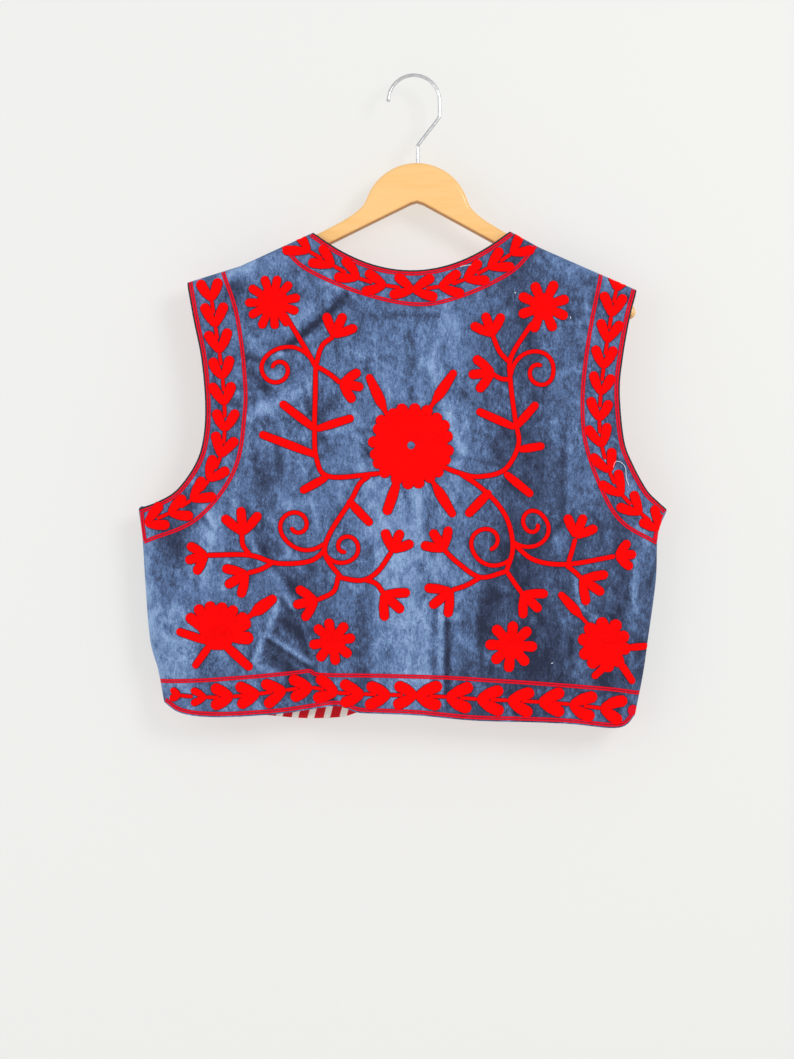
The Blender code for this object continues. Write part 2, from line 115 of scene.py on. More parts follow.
BACK_HEM = (
    Point("left corner", -0.251, 0.627),
    Point("left turn", -0.23, 0.638),
    Point("left panel", -0.189, 0.641),
    Point("left middle", -0.114, 0.6375),
    Point("middle", -0.014, 0.638),
    Point("right middle", 0.056, 0.6445),
    Point("right panel", 0.15, 0.6475),
    Point("right turn", 0.204, 0.652),
    Point("right corner", 0.222, 0.64),
)
LEFT_HEM = (
    Point("corner at the side", -0.251, 0.627),
    Point("turn", -0.229, 0.637),
    Point("panel", -0.17, 0.64),
    Point("lowest", -0.115, LEFT_FRONT_HEM),
    Point("round corner starts", LEFT_FREE_EDGE - FRONT_CORNER, LEFT_FRONT_HEM),
)
RIGHT_HEM = (
    Point("corner at the side", 0.222, 0.64),
    Point("turn", 0.203, 0.651),
    Point("panel", 0.15, 0.6475),
    Point("round corner starts", RIGHT_FREE_EDGE + FRONT_CORNER, RIGHT_FRONT_HEM),
)
Front = namedtuple("Front", "inwards neck_x edge_x tip_x hem_drop hem")
FRONTS = {
    "left": Front(1, LEFT_NECK_X, LEFT_FREE_EDGE, ARMHOLE[0].left, LEFT_FRONT_HEM, LEFT_HEM),
    "right": Front(-1, RIGHT_NECK_X, RIGHT_FREE_EDGE, ARMHOLE[0].right, RIGHT_FRONT_HEM, RIGHT_HEM),
}
TUCK_X, TUCK_HEIGHT, TUCK_LEFT, TUCK_RIGHT = -0.074, 0.0072, 0.036, 0.012

Share = namedtuple("Share", "name across down")
NECKLINE = (
    Share("neck point", 0, 0),
    Share("collarbone", 0.1, 0.2),
    Share("breast", 0.4, 0.54),
    Share("above the break", 0.8, 0.86),
    Share("break", 1, 1),
)
FREE_EDGE_SHARES = (0.15, 0.5, 0.85)

DEPTHS = (
    Depth("on the hanger", 0, SHOULDER_TURN, SHOULDER_TURN),
    Depth("shoulder blade", 0.09, 0.0125, 0.0115),
    Depth("chest", 0.24, 0.019, 0.0135),
    Depth("waist", 0.37, 0.021, 0.0145),
    Depth("hem", 0.48, 0.019, 0.0135),
)
BACK_FOLDS = (
    Fold("shoulder ridge", -0.094, 0.308, -0.163, 0.345, 0.003, 0.015),
    Fold("centre hang", -0.018, 0.4, -0.016, 0.64, 0.0042, 0.026),
    Fold("hollow beside it", 0.04, 0.42, 0.042, 0.64, -0.0034, 0.024),
    Fold("right hollow", 0.096, 0.33, 0.106, 0.64, -0.0036, 0.03),
    Fold("right ridge", 0.154, 0.35, 0.15, 0.47, 0.0028, 0.015),
    Fold("hip hollow", -0.106, 0.5, -0.112, 0.64, -0.0052, 0.024),
    Fold("hip tuck", -0.128, 0.528, -0.16, 0.585, 0.0034, 0.014),
    Fold("underarm hollow", -0.24, 0.445, -0.236, 0.49, -0.003, 0.015),
    Fold("left ridge", -0.198, 0.425, -0.205, 0.56, 0.003, 0.016),
)
FRONT_FOLDS = (
    Fold("left edge hang", -0.058, 0.38, -0.062, 0.64, 0.0022, 0.022),
    Fold("left hollow", -0.122, 0.38, -0.128, 0.64, -0.0028, 0.026),
    Fold("left chest", -0.148, 0.25, -0.18, 0.33, 0.002, 0.018),
    Fold("right edge hang", 0.038, 0.38, 0.042, 0.64, 0.002, 0.022),
    Fold("right hollow", 0.106, 0.4, 0.102, 0.64, -0.0028, 0.026),
    Fold("right chest", 0.128, 0.255, 0.166, 0.34, 0.0022, 0.016),
)
ARM_OUTLINE = (
    Point("haunch", 0.056, 0.1325),
    Point("arm root", 0.07, 0.1436),
    Point("arm", 0.096, 0.1583),
    Point("arm's middle", 0.15, 0.1862),
    Point("near the end", 0.206, 0.2143),
    Point("shoulder of the end", 0.217, 0.2222),
    Point("end", 0.2215, 0.233),
    Point("under the end", 0.215, 0.239),
    Point("underside, far", 0.204, 0.2325),
    Point("underside, middle", 0.12, 0.1882),
    Point("underside, near", 0.048, 0.1506),
    Point("foot of the notch", 0.015, 0.1335),
    Point("side of the notch", 0.006, 0.1288),
)
WIRE_BEND = (
    Point("foot of the stem", HANGER_X, DOME_TOP + SOCKET_DEPTH - SEAM_GAP),
    Point("out of the wood", HANGER_X, DOME_TOP),
    Point("top of the stem", HANGER_X, 0.072),
    Point("lower bend", HANGER_X + 0.001, 0.0672),
    Point("upper bend", HOOK_RADIUS - 0.002, 0.043),
    Point("into the arch", HOOK_RADIUS, 0.0375),
)

# ---------------------------------------------------------------- creases, and nap with painted shade, in millimetres

Crease = namedtuple("Crease", "name x drop to_x to_drop height half_width")
BACK_CREASES = (
    Crease("under the neck band, left", -70, 221, -131, 276, -1.8, 3.8),
    Crease("lip above it", -80, 219, -136, 266, 1, 5),
    Crease("chest ridge, left", -169, 340, -96, 308, 1.3, 8),
    Crease("below the chest ridge", -160, 356, -84, 336, -0.9, 8),
    Crease("armhole pull, upper", -172, 283, -150, 289, -0.9, 4),
    Crease("armhole pull, middle", -174, 317, -152, 316, -1, 4),
    Crease("pull across the spiral", -89, 300, -44, 292, 0.6, 3.5),
    Crease("pull over the flower", -56, 286, -22, 279, 0.7, 3),
    Crease("left of the flower", -88, 362, -54, 354, 0.9, 3.5),
    Crease("yoke line", -42, 240, 26, 240, 0.5, 2.6),
    Crease("hollow over the flower", -8, 250, 0, 300, -0.35, 7),
    Crease("fold right of it", 30, 230, 14, 294, 1, 6),
    Crease("fold right of it, lower", 14, 294, 43, 376, 0.8, 6),
    Crease("right shoulder hollow", 96, 232, 112, 262, -0.8, 9),
    Crease("right shoulder ridge", 128, 190, 168, 214, 0.9, 9),
    Crease("armhole pull, right", 152, 252, 172, 250, 0.6, 3),
    Crease("right ridge, edge", 152, 362, 151, 448, 0.9, 4),
    Crease("right armhole roll", 186, 384, 216, 426, 1.1, 8),
    Crease("right hollow, upper", 128, 330, 118, 430, -0.8, 10),
    Crease("centre column, right edge", 23, 530, 23, 624, 1, 4.4),
    Crease("step beside it", 31, 545, 31, 626, -1.3, 4),
    Crease("centre column, left edge", -38, 470, -44, 600, 0.8, 7),
    Crease("right of the step", 68, 500, 56, 600, -1.2, 9),
    Crease("between the right vines", 94, 470, 82, 560, 0.8, 8),
    Crease("right side strip", 218, 470, 213, 540, 0.6, 5),
    Crease("beside the strip", 205, 480, 200, 560, -0.7, 7),
    Crease("right hip mark", 160, 505, 162, 534, 0.8, 4),
    Crease("left underarm pull", -174, 425, -152, 476, -0.9, 5.5),
    Crease("left underarm pull, lower", -152, 476, -116, 522, -1, 5.5),
    Crease("lip beside the pull", -152, 440, -118, 490, 0.6, 7),
    Crease("tuck, rising", -163, 588, -138, 536, 1.2, 3.4),
    Crease("tuck, falling", -144, 562, -104, 589, 1.1, 3),
    Crease("between the tucks", -132, 548, -120, 562, -1.2, 7),
    Crease("under the falling tuck", -150, 588, -112, 604, -0.9, 6),
    Crease("tuck mark", -131, 521, -122, 534, 1.1, 3),
    Crease("hem pucker", -106, 594, -83, 628, -1.6, 6),
    Crease("hem pucker, lip", -96, 600, -72, 630, 1, 5),
    Crease("hip fold by the small flower", -112, 552, -104, 574, 0.9, 3.5),
    Crease("left side, upper", -228, 470, -232, 560, 0.9, 7),
    Crease("left side, lower", -212, 540, -222, 610, -0.8, 8),
    Crease("left side, mark", -208, 440, -200, 452, 0.8, 3),
    Crease("hem band, left", -196, 606, -192, 634, 0.6, 5),
    Crease("hem band, right", 92, 610, 96, 640, -0.7, 6),
    Crease("hem band, far right", 170, 612, 176, 644, 0.6, 6),
)
FRONT_CREASES = (
    Crease("left chest pull", -176, 292, -118, 268, -1.1, 6),
    Crease("left neck roll", -92, 214, -70, 300, 0.9, 6),
    Crease("left waist pull", -214, 470, -150, 510, -1.2, 7),
    Crease("left waist lip", -208, 458, -146, 496, 0.8, 6),
    Crease("left edge fold", -44, 440, -50, 610, -0.9, 6),
    Crease("left hip tuck", -170, 560, -130, 600, 1.2, 5),
    Crease("left side mark", -226, 520, -222, 590, 0.8, 6),
    Crease("right chest pull", 172, 300, 110, 276, -1.1, 6),
    Crease("right neck roll", 88, 216, 60, 310, 0.9, 6),
    Crease("right waist pull", 206, 468, 148, 506, -1.2, 7),
    Crease("right waist lip", 200, 456, 144, 492, 0.8, 6),
    Crease("right edge fold", 26, 430, 30, 600, -0.9, 6),
    Crease("right hip tuck", 150, 556, 112, 592, 1.2, 5),
    Crease("right side mark", 206, 510, 204, 590, 0.8, 6),
)

# Where the back looks lighter or darker: partly the pile lying one way or the other, partly painted shade and
# highlight along its folds and creases.
NapAndShade = namedtuple("NapAndShade", "name x drop to_x to_drop tone half_width")
BACK_NAP_AND_SHADE = {
    "upper left": (
        (-164, 344, -98, 310, 0.7, 6), (-124, 240, -104, 236, 0.45, 10), (-74, 228, -128, 275, -1.5, 2.6),
        (-174, 284, -144, 296, -0.55, 7), (-200, 260, -196, 380, -0.25, 10),
        (-190, 202, -162, 188, 0.75, 6), (-174, 326, -150, 320, -0.5, 6), (-172, 214, -168, 238, -0.5, 9),
        (-98, 250, -131, 274, -0.8, 4.4), (-88, 243, -72, 226, -0.5, 5), (-92, 306, -94, 346, -0.4, 7),
        (-180, 198, -128, 182, 0.3, 8), (-176, 262, -164, 270, 0.4, 8), (-124, 252, -108, 262, 0.3, 6),
        (-108, 318, -104, 344, -0.3, 8), (-150, 262, -128, 272, 0.35, 3.6), (-164, 300, -140, 318, -0.4, 5),
    ),
    "upper middle": (
        (30, 228, 13, 296, 0.5, 6.5), (40, 250, 38, 285, 0.35, 6), (-22, 312, -26, 328, 0.3, 8),
        (-15, 286, -12, 330, 0.45, 4), (-42, 250, -38, 306, 0.3, 5), (-28, 300, -26, 330, 0.4, 5),
        (8, 262, 6, 318, 0.3, 3.4), (-34, 288, 4, 311, 0.5, 1.8), (8, 286, -10, 320, 0.5, 1.8),
        (42, 246, 44, 300, 0.3, 6), (-4, 262, -2, 322, -0.5, 5), (-34, 238, 24, 240, -0.4, 2.6),
    ),
    "upper right": (
        (66, 300, 60, 350, 0.25, 10), (102, 178, 104, 270, -0.6, 20), (176, 208, 180, 226, -0.6, 7),
        (72, 268, 80, 276, -0.3, 9), (166, 190, 194, 204, 0.6, 4.5), (98, 318, 96, 336, 0.35, 8),
        (168, 276, 172, 312, -0.45, 8), (172, 214, 176, 240, -0.3, 8),
    ),
    "left, middle height": (
        (-207, 432, -208, 500, 0.45, 12), (-94, 345, -150, 352, -0.45, 8),
        (-152, 400, -148, 404, -0.35, 12), (-174, 426, -152, 476, -0.35, 5),
        (-246, 450, -238, 470, -0.85, 12), (-76, 438, -72, 462, -0.45, 8), (-226, 454, -222, 466, -0.3, 8),
        (-150, 385, -146, 430, -0.35, 12), (-92, 362, -82, 374, -0.35, 6), (-222, 430, -204, 418, -0.5, 7),
        (-116, 384, -66, 436, 0.22, 24), (-200, 445, -198, 480, 0.4, 8), (-196, 462, -182, 474, -0.4, 5),
    ),
    "round the middle flower": (
        (13, 296, 44, 374, 0.5, 6.5), (-44, 408, -30, 476, 0.65, 13), (-62, 342, -58, 412, 0.45, 11),
        (4, 430, 8, 462, 0.35, 8), (-58, 365, -50, 362, 0.3, 7), (47, 382, 36, 424, 0.5, 7),
        (36, 424, 26, 456, 0.4, 7), (-8, 412, -6, 448, -0.55, 2.8), (2, 414, 4, 446, 0.45, 3),
        (14, 428, 13, 462, -0.5, 3.6), (-60, 352, -40, 360, -0.5, 3),
    ),
    "right, middle height": (
        (152, 366, 152, 446, 0.15, 5), (186, 384, 214, 424, 0.45, 8), (102, 300, 106, 470, -0.48, 24),
        (180, 446, 200, 482, -0.55, 14), (96, 345, 130, 400, -0.3, 12), (146, 424, 148, 455, -0.4, 11),
        (112, 388, 122, 428, -0.4, 8), (196, 424, 212, 470, -0.5, 9), (240, 456, 246, 484, -0.5, 6),
        (64, 320, 62, 356, -0.35, 9), (152, 356, 148, 404, -0.35, 9), (198, 340, 208, 408, -0.4, 9),
        (131, 446, 136, 484, -0.4, 8), (168, 444, 172, 448, 0.35, 6), (86, 412, 110, 410, -0.35, 9),
        (119, 322, 120, 354, -0.45, 6),
    ),
    "lower left": (
        (-236, 545, -238, 600, 0.6, 16), (-214, 500, -206, 540, 0.35, 10), (-160, 588, -134, 522, 0.8, 3.2),
        (-146, 560, -104, 589, 0.85, 2.4), (-152, 476, -120, 516, -0.5, 4.5),
        (-114, 506, -112, 612, -0.6, 17), (-144, 558, -136, 580, -0.75, 9), (-124, 604, -98, 614, -0.7, 9),
        (-268, 520, -260, 606, 0.9, 10), (-206, 582, -202, 604, -0.45, 9), (-146, 576, -118, 594, -0.35, 5),
        (-268, 455, -268, 510, 0.5, 7), (-132, 556, -128, 564, -0.5, 6), (-131, 484, -129, 500, 0.6, 6),
        (-160, 482, -160, 492, -0.4, 6), (-130, 550, -106, 556, -0.45, 6),
        (-244, 478, -236, 500, -0.15, 14), (-226, 524, -222, 536, -0.4, 7),
    ),
    "lower middle": (
        (-8, 410, -6, 620, 0.66, 18), (-30, 500, -26, 560, 0.35, 12), (-54, 530, -50, 606, -0.4, 10),
        (16, 486, 20, 492, 0.3, 10), (31, 548, 31, 616, -0.9, 3.6), (14, 530, 14, 612, 0.5, 7),
        (54, 545, 52, 614, -0.55, 9), (59, 530, 60, 604, 0.25, 3.2), (-14, 470, -16, 514, 0.3, 7),
        (58, 528, 58, 542, -0.4, 7), (-6, 519, 12, 521, -0.3, 5), (42, 488, 42, 540, 0.4, 8),
        (-52, 620, -22, 622, 0.4, 8),
    ),
    "lower right": (
        (219, 468, 218, 526, 0.25, 4), (160, 508, 161, 530, 0.35, 4), (140, 530, 134, 604, -0.4, 14),
        (104, 480, 112, 612, -0.8, 28), (114, 566, 118, 590, -0.45, 14), (80, 600, 84, 618, -0.5, 12),
        (76, 520, 70, 560, -0.5, 9), (190, 500, 192, 600, -0.55, 17), (150, 560, 152, 600, -0.45, 14),
        (228, 456, 236, 560, -0.18, 13), (192, 600, 200, 640, -0.5, 16), (66, 524, 67, 604, -0.45, 2.8),
        (75, 578, 76, 592, -0.4, 6), (140, 604, 170, 616, -0.4, 8), (184, 604, 188, 616, -0.4, 6),
        (168, 487, 172, 498, -0.6, 6), (204, 504, 208, 530, -0.4, 8), (228, 572, 232, 600, -0.95, 13),
        (166, 464, 150, 502, -0.6, 11), (26, 630, 136, 640, -0.6, 11),
    ),
}

# Short random creases and nap strokes between those, mostly upright, the same in every run. The fronts'
# seeds are one higher than the back's.
Strewn = namedtuple("Strewn", "kind seed count sizes lengths widths")
WRINKLES = Strewn(Crease, 11, 190, (0.16, 0.58), (8, 40), (2.2, 4.6))
STROKES = Strewn(NapAndShade, 16, 520, (0.15, 0.50), (6, 34), (1.6, 4.6))
STREWN_X, STREWN_DROP, STREWN_LEAN = (-270, 250), (165, 650), 36
# Painted shade and highlight in the velvet's tone: what it gains from creases that lean to the light and from
# the fronts' folds, and its limit.
PAINTED_CREASE_SHADE_GAIN, FRONT_FOLD_PAINTED_SHADE, TONE_LIMIT = 3.2, 0.5, 1.5

# ---------------------------------------------------------------- stitched motifs, in millimetres

STEM_WIDTH = 5.0
CURL_WIDTH = 4.4
ROW = 2.3  # from one row of chain stitch to the next
LINK = 3.3  # length of one chain stitch
LINE_ROW, LINE_APART = 1.7, 2.2  # the border's lines are two rows each
# width of the dark strip of painted shade along the velvet's turned edges
EDGE_SHADE_WIDTH = 1.6

# How a band of stitches is worked: how high it stands, how deep the grooves between its rows are, how far
# apart the points along it are, and how wide the dark ring beside it is, pressed pile with painted shadow.
Thread = namedtuple("Thread", "name lift groove step skirt")
WOOL = Thread("motifs", 1.15, 0.22, 1.9, 0.7)
CORE = Thread("middle of a flower", 1.25, 0.22, 1.9, 0.7)
LINE = Thread("border line", 0.85, 0, 1.6, 0.25)
# the dark strip of painted shade along the velvet's turned edges
EDGE_SHADE_THREAD = Thread("turned edge in painted shade", 0.55, 0, 2.2, 0.25)
LINT_BIT = Thread("bit of lint", 0.7, 0.22, 1.9, 0)
LOOSE = Thread("loose end of thread", 1.8, 0, 1.2, 0)
SKIRT = np.array([1, 0.35])  # where the dark ring of pressed pile and painted shadow has points, as shares of its width

ACROSS_STEP = 0.55  # between the points across a row
EDGE_LINE = 3.4  # from a cloth edge to the middle of its stitched line
FRONT_BAND, SEAM_BAND = 34.0, 21.0  # width of a front's border, and where it meets the side seam
NARROWING = 60  # a front's hem border narrows over this length
HEM_TURN = 26.0  # the hem turns up towards the side seam over this length
HEART_PITCH = 25  # from one heart to the next on the fronts
LOWER_EDGE = 600  # an edge that ends below this drop ends at the hem
LINE_GAP, HEARTS_GAP = 1, 4  # lines stop this far short of both ends of an edge, and hearts of its last one

# The border's inner lines, and the short ones on the side seams.
BORDER_LINES = {
    "below the neck": ((-131, 171), (-108, 194), (-54, 218), (2, 230), (46, 222), (96, 198), (122, 171)),
    "left armhole": (
        (-191, 197), (-177, 240), (-169, 300), (-169, 345), (-180, 398), (-216, 444), (-270, 467),
    ),
    "right armhole": ((187, 199), (175, 260), (168, 320), (171, 370), (190, 422), (209, 449), (243, 468)),
    "over the hem": (
        (-254, 606), (-205, 604), (-128, 598), (-104, 595.5), (-92, 599), (-14, 600), (66, 604),
        (183, 612), (226, 618),
    ),
    "left side seam": ((-272, 438), (-271, 452), (-269, 466)),
    "right side seam": ((248, 439), (243.5, 450), (240.5, 465)),
}

HEART_REACH, FRONT_HEART = 24.5, 11.2  # length of a heart's lobes, and their width on the fronts
THIN_REACH, THIN_HEART = (12.0, 17.0), 7.8  # those of a row's first hearts, where it comes round a corner
HEART_BEND = ((0.0, 28), (0.5, 27.5), (1.0, 26))  # share of the reach, and degrees off the middle line
HEART_STEM, STEM_SHORT = 4.0, 13  # width of the stem to the next heart, and how far before its tip it ends
# Rows of hearts, along the middle line of each border. A row's last tip is at its line's end.
HeartRow = namedtuple("HeartRow", "name count width thin reach line")
BACK_HEARTS = (
    HeartRow("left of the neck", 5, 10.6, 0, HEART_REACH, (
        (-129, 163), (-106, 176), (-55, 204), (-1, 216),
    )),
    HeartRow("right of the neck", 5, 10.6, 0, HEART_REACH, (
        (115, 160), (92, 183), (43, 208), (-1, 216),
    )),
    HeartRow("left armhole", 11, 10.9, 0, HEART_REACH, (
        (-206, 200), (-199, 246), (-190, 313), (-190, 372), (-207, 410), (-230, 431), (-268, 449),
    )),
    HeartRow("right armhole", 11, 10.5, 0, HEART_REACH, (
        (208, 190), (197, 240), (186, 320), (186.5, 370), (205, 418), (246, 455),
    )),
    HeartRow("left of the hem", 10, 12.0, 2, HEART_REACH, (
        (-259, 618), (-190, 621), (-104, 612), (-74, 617), (2, 619),
    )),
    HeartRow("right of the hem", 7, 12.8, 0, 27.5, ((216, 637), (154, 628), (60, 623), (2, 619))),
)

# A flower's petals fan out from the first heading to the last, in degrees clockwise from +x.
Flower = namedtuple("Flower", "name x drop radius petals width first last core hole")
BACK_FLOWERS = (
    Flower("middle", -3, 371, 42.8, 20, 12.8, 6, 348, 36.5, 3.8),
    Flower("upper left", -141, 228, 27.5, 11, 9.6, -12, 312, 15.5, 0),
    Flower("upper right", 129, 232, 26.5, 8, 11.2, -20, 295, 13.5, 0),
    Flower("lower left, small", -81, 566, 23.5, 8, 11.0, -8, 307, 13, 0),
    Flower("lower right, small", 96.5, 570, 26, 8, 11.9, 4, 317, 14, 0),
    Flower("lower left, large", -197, 562, 38, 6, 11.8, -141, -37, 12, 0),
    Flower("lower left, right petals", -192, 561, 33, 2, 14.0, -29, -1, 13, 0),
    Flower("lower right, large", 189, 569, 27.5, 10, 14.4, 12, 336, 21, 0),
)
Disc = namedtuple("Disc", "name x drop radius")
FAN_DISCS = (
    Disc("lower left, heart of the fan", -195, 549, 19.5),
    Disc("lower left, foot", -197, 560, 9),
)
KNOTS = (
    Disc("knot at the right seam", 243, 462, 3.2),
    Disc("knot at the lower right corner", 218.5, 635, 5.4),
)

# Stems, as three to nine points each.
STEMS = {
    "left flower to the middle one": (
        (-130, 238), (-101, 287), (-98, 300), (-99, 351), (-97, 384), (-84, 402), (-34, 399),
    ),
    "left sprig, upper": ((-98, 292), (-92, 272), (-80, 262)),
    "left sprig, lower": ((-97, 292), (-84, 300), (-73, 309)),
    "right flower to the middle one": (
        (118, 248), (97, 282), (96, 306), (101, 346), (104, 370), (90, 395), (64, 402), (44, 398),
        (26, 391),
    ),
    "right sprig, upper": ((95, 288), (85, 277), (78, 260)),
    "right sprig, lower": ((96, 305), (86, 304), (76, 298)),
    "left vine": ((-44, 401), (-54, 409), (-63, 426), (-84, 459), (-88, 480), (-72, 503)),
    "left vine, branch left": ((-87, 474), (-104, 486), (-136, 488), (-164, 480), (-206, 480)),
    "left vine, sprig up": ((-162, 481), (-170, 470), (-171, 458)),
    "left vine, sprig down": ((-140, 487), (-152, 494), (-166, 498)),
    "left vine, foot": ((-75, 500), (-80, 516), (-97, 525)),
    "left vine, right branch": ((-75, 502), (-52, 505), (-36, 496), (-22, 476)),
    "left vine, right branch, low": ((-50, 504), (-38, 508), (-30, 518)),
    "right vine": ((46, 399), (64, 411), (82, 428), (94, 448), (98, 474), (91, 498)),
    "right vine, branch right": ((100, 470), (120, 485), (152, 489), (200, 481)),
    "right vine, sprig up": ((153, 488), (157, 474), (160, 463)),
    "right vine, sprig down": ((150, 489), (160, 497), (167, 504)),
    "right vine, foot": ((92, 496), (100, 508), (109, 520)),
    "right vine, left branch": ((92, 496), (66, 502), (44, 488), (29, 474)),
    "right vine, left branch, low": ((66, 502), (52, 510), (37, 515)),
}

# Curls wind in round their middle. Their radii are at equal shares of the turn, and angles are in degrees
# clockwise from +x.
Curl = namedtuple("Curl", "name x drop first turn radii")
CURLS = (
    Curl("upper left", -137, 294, -6, -534, (38, 18.5, 15, 14, 11, 6, 3.5)),
    Curl("upper right", 127, 296, 170, 460, (31, 19, 12, 14.4, 11.4, 4)),
    Curl("left vine, left", -117, 451, 31, 498, (33, 18.5, 15.6, 13, 10, 6.5, 4.6)),
    Curl("left vine, right", -67, 473, 180, -440, (24, 14, 11.6, 11.6, 8.5, 3)),
    Curl("right vine, right", 119, 449, 139, -500, (27, 19, 12.3, 13.3, 9.6, 7.6, 3)),
    Curl("right vine, left", 71, 468, 33, 385, (29.5, 16, 14, 13.6, 7.5)),
)

# A sprig grows from its root that way, in degrees clockwise from +x.
Sprig = namedtuple("Sprig", "name x drop heading reach")
SPRIGS = (
    Sprig("upper left, high", -80, 262, -66, 25),
    Sprig("upper left, low", -73, 309, 11, 23),
    Sprig("upper right, high", 78, 261, -109, 24),
    Sprig("upper right, low", 79, 298, 174, 25),
    Sprig("left vine, end", -206, 480, 165, 22),
    Sprig("left vine, up", -170, 459, -95, 27),
    Sprig("left vine, down", -166, 498, 149, 25),
    Sprig("left vine, foot", -97, 525, 168, 24),
    Sprig("left vine, right", -22, 476, -66, 23),
    Sprig("left vine, right, low", -31, 518, 42, 27),
    Sprig("right vine, end", 201, 481, -6, 20),
    Sprig("right vine, up", 160, 462, -68, 24),
    Sprig("right vine, down", 166, 503, 35, 27),
    Sprig("right vine, foot", 108, 518, 45, 25),
    Sprig("right vine, left", 30, 475, -123, 24),
    Sprig("right vine, left, low", 37, 515, 142, 27),
)
SPRIG_TURNS, SPRIG_WIDTH, SPRIG_PALM = (-44, 0, 44), 10.0, 6.2

# Single leaves, from root to tip. A blade has a thin neck, and a plain leaf keeps its width.
Leaf = namedtuple("Leaf", "name x drop to_x to_drop width kind")
LEAVES = (
    Leaf("over the middle flower, left", -24, 347, -46, 300, 11, "blade"),
    Leaf("over the middle flower, right", 13, 338, 41, 296, 11, "blade"),
    Leaf("under the middle flower, left", -17, 408, -28, 440, 11, "plain"),
    Leaf("under the middle flower, right", 14, 400, 40, 442, 11, "blade"),
    Leaf("left stem, high left", -98, 355, -133, 328, 9, "plain"),
    Leaf("left stem, high right", -98, 355, -60, 343, 9, "plain"),
    Leaf("left stem, middle", -96, 381, -154, 359, 9, "plain"),
    Leaf("left stem, low", -86, 402, -113, 417, 9, "plain"),
    Leaf("right stem, high left", 101, 353, 62, 336, 9, "plain"),
    Leaf("right stem, high right", 101, 353, 123, 328, 9, "plain"),
    Leaf("right stem, middle", 104, 375, 130, 371, 9, "plain"),
    Leaf("right stem, low", 90, 398, 118, 421, 9, "plain"),
    Leaf("left vine", -66, 425, -42, 450, 9, "plain"),
    Leaf("right vine", 76, 416, 52, 441, 10, "plain"),
    Leaf("lower left, up", -168, 544, -137, 521, 13, "blade"),
    Leaf("lower left, side", -203, 566, -236, 555, 9, "plain"),
    Leaf("lower left, low left", -200, 566, -219, 592, 8, "plain"),
    Leaf("lower left, low right", -190, 567, -161, 593, 10, "plain"),
    Leaf("lower right, up", 172, 548, 144, 517, 10, "blade"),
    Leaf("lower right, side", 212, 572, 234, 571, 8, "plain"),
    Leaf("lower right, low left", 192, 588, 177, 602, 8, "plain"),
    Leaf("lower right, low right", 200, 580, 219, 608, 8, "plain"),
)
# A stroke's width along it: shares of its length and of its full width.
PROFILES = {
    "blade": ((0, 0.4), (0.22, 0.42), (0.42, 0.98), (0.6, 1.0), (1, 0.66)),
    "plain": ((0, 0.75), (0.4, 1.0), (1, 0.9)),
    "petal": ((0, 0.5), (0.5, 0.9), (1, 1.0)),
    "lobe": ((0, 0.5), (0.45, 0.95), (1, 1.0)),
    "finger": ((0, 0.55), (0.5, 1.0), (1, 0.96)),
    "even": ((0, 1.0), (1, 1.0)),
}

# Bits of lint and two loose ends of white thread that lie on the cloth.
LINT = ((100, 218), (156, 242), (115, 300), (35, 339), (-206, 406), (138, 587), (-29, 402))
LINT_LENGTH, LINT_WIDTH, LINT_BOW, LINT_SEED = 1.9, 0.8, 0.3, 11
LOOSE_THREADS = (
    ((198, 393), (199.5, 388), (203, 386.5), (207.5, 389), (210.5, 394), (211, 403), (213.5, 411)),
    ((46, 192.5), (51, 191), (57, 190.5)),
)
LOOSE_WIDTH = 0.7

# ---------------------------------------------------------------- grids of the fine cloth

TURN_STEPS = 12
UNDERARM_SHARE = 0.56
ROWS_ABOVE, ROWS_BELOW = 84, 66
SHOULDER_COLUMNS, NECK_COLUMNS, BACK_MIDDLE_COLUMNS = 54, 88, 172
FRONT_MIDDLE_COLUMNS = 78
CURVE_STEPS, CORNER_POINTS = 24, 4
RIDGE_REACH = 4  # a ridge counts up to this many half widths away
SHARP_EDGE = math.radians(50)

# ---------------------------------------------------------------- view and light

PHOTO_HEIGHT = 1.059  # metres of the wall that the picture shows from top to bottom
VIEW_X, VIEW_DROP, VIEW_PLANE, VIEW_DISTANCE = -0.017, 0.4545, -0.008, 1.8
SENSOR = 36.0
WALL_Y = 0.034
FLOOR_DROP = 1.30
STAGE_SIZE = 6.0
PALE, STAGE_GLOW = (0.83, 0.828, 0.808), 0.6  # the glow thins out the shadows
SKY, SKY_STRENGTH = (0.95, 0.96, 0.97, 1), 0.70
AIM_DROP = 0.40
Light = namedtuple("Light", "name place power size colour")
LIGHTS = (
    Light("key light", (1.10, -1.75, 0.35), 17.5, 0.7, (1.0, 0.985, 0.965)),
    Light("fill light", (-1.6, -1.6, -0.2), 13.0, 1.6, (0.97, 0.98, 1.0)),
    Light("back light", (0.9, 1.9, 0.5), 22.0, 1.4, (1, 1, 1)),
    Light("back fill", (-1.4, 1.5, -0.3), 8.0, 1.6, (1, 1, 1)),
)


# ---------------------------------------------------------------- curves in x and drop

def through(points, steps=CURVE_STEPS):
    """A Catmull-Rom curve through the points, whose last two values are x and drop."""
    given = np.array([point[-2:] for point in points], float)
    ends = np.vstack([2 * given[0] - given[1], given, 2 * given[-1] - given[-2]])
    share = np.linspace(0, 1, steps, endpoint=False)[:, None]
    stretches = [
        0.5 * (2 * b + (c - a) * share + (2 * a - 5 * b + 4 * c - d) * share**2
               + (3 * b - a - 3 * c + d) * share**3)
        for a, b, c, d in zip(ends, ends[1:], ends[2:], ends[3:])
    ]
    return np.vstack([*stretches, given[-1:]])


def lengths(curve):
    """The length of a curve up to each of its points."""
    return np.concatenate([[0], np.cumsum(np.hypot(*np.diff(curve, axis=0).T))])


def at_length(curve, distance):
    length = lengths(curve)
    return np.column_stack([np.interp(distance, length, curve[:, axis]) for axis in range(2)])


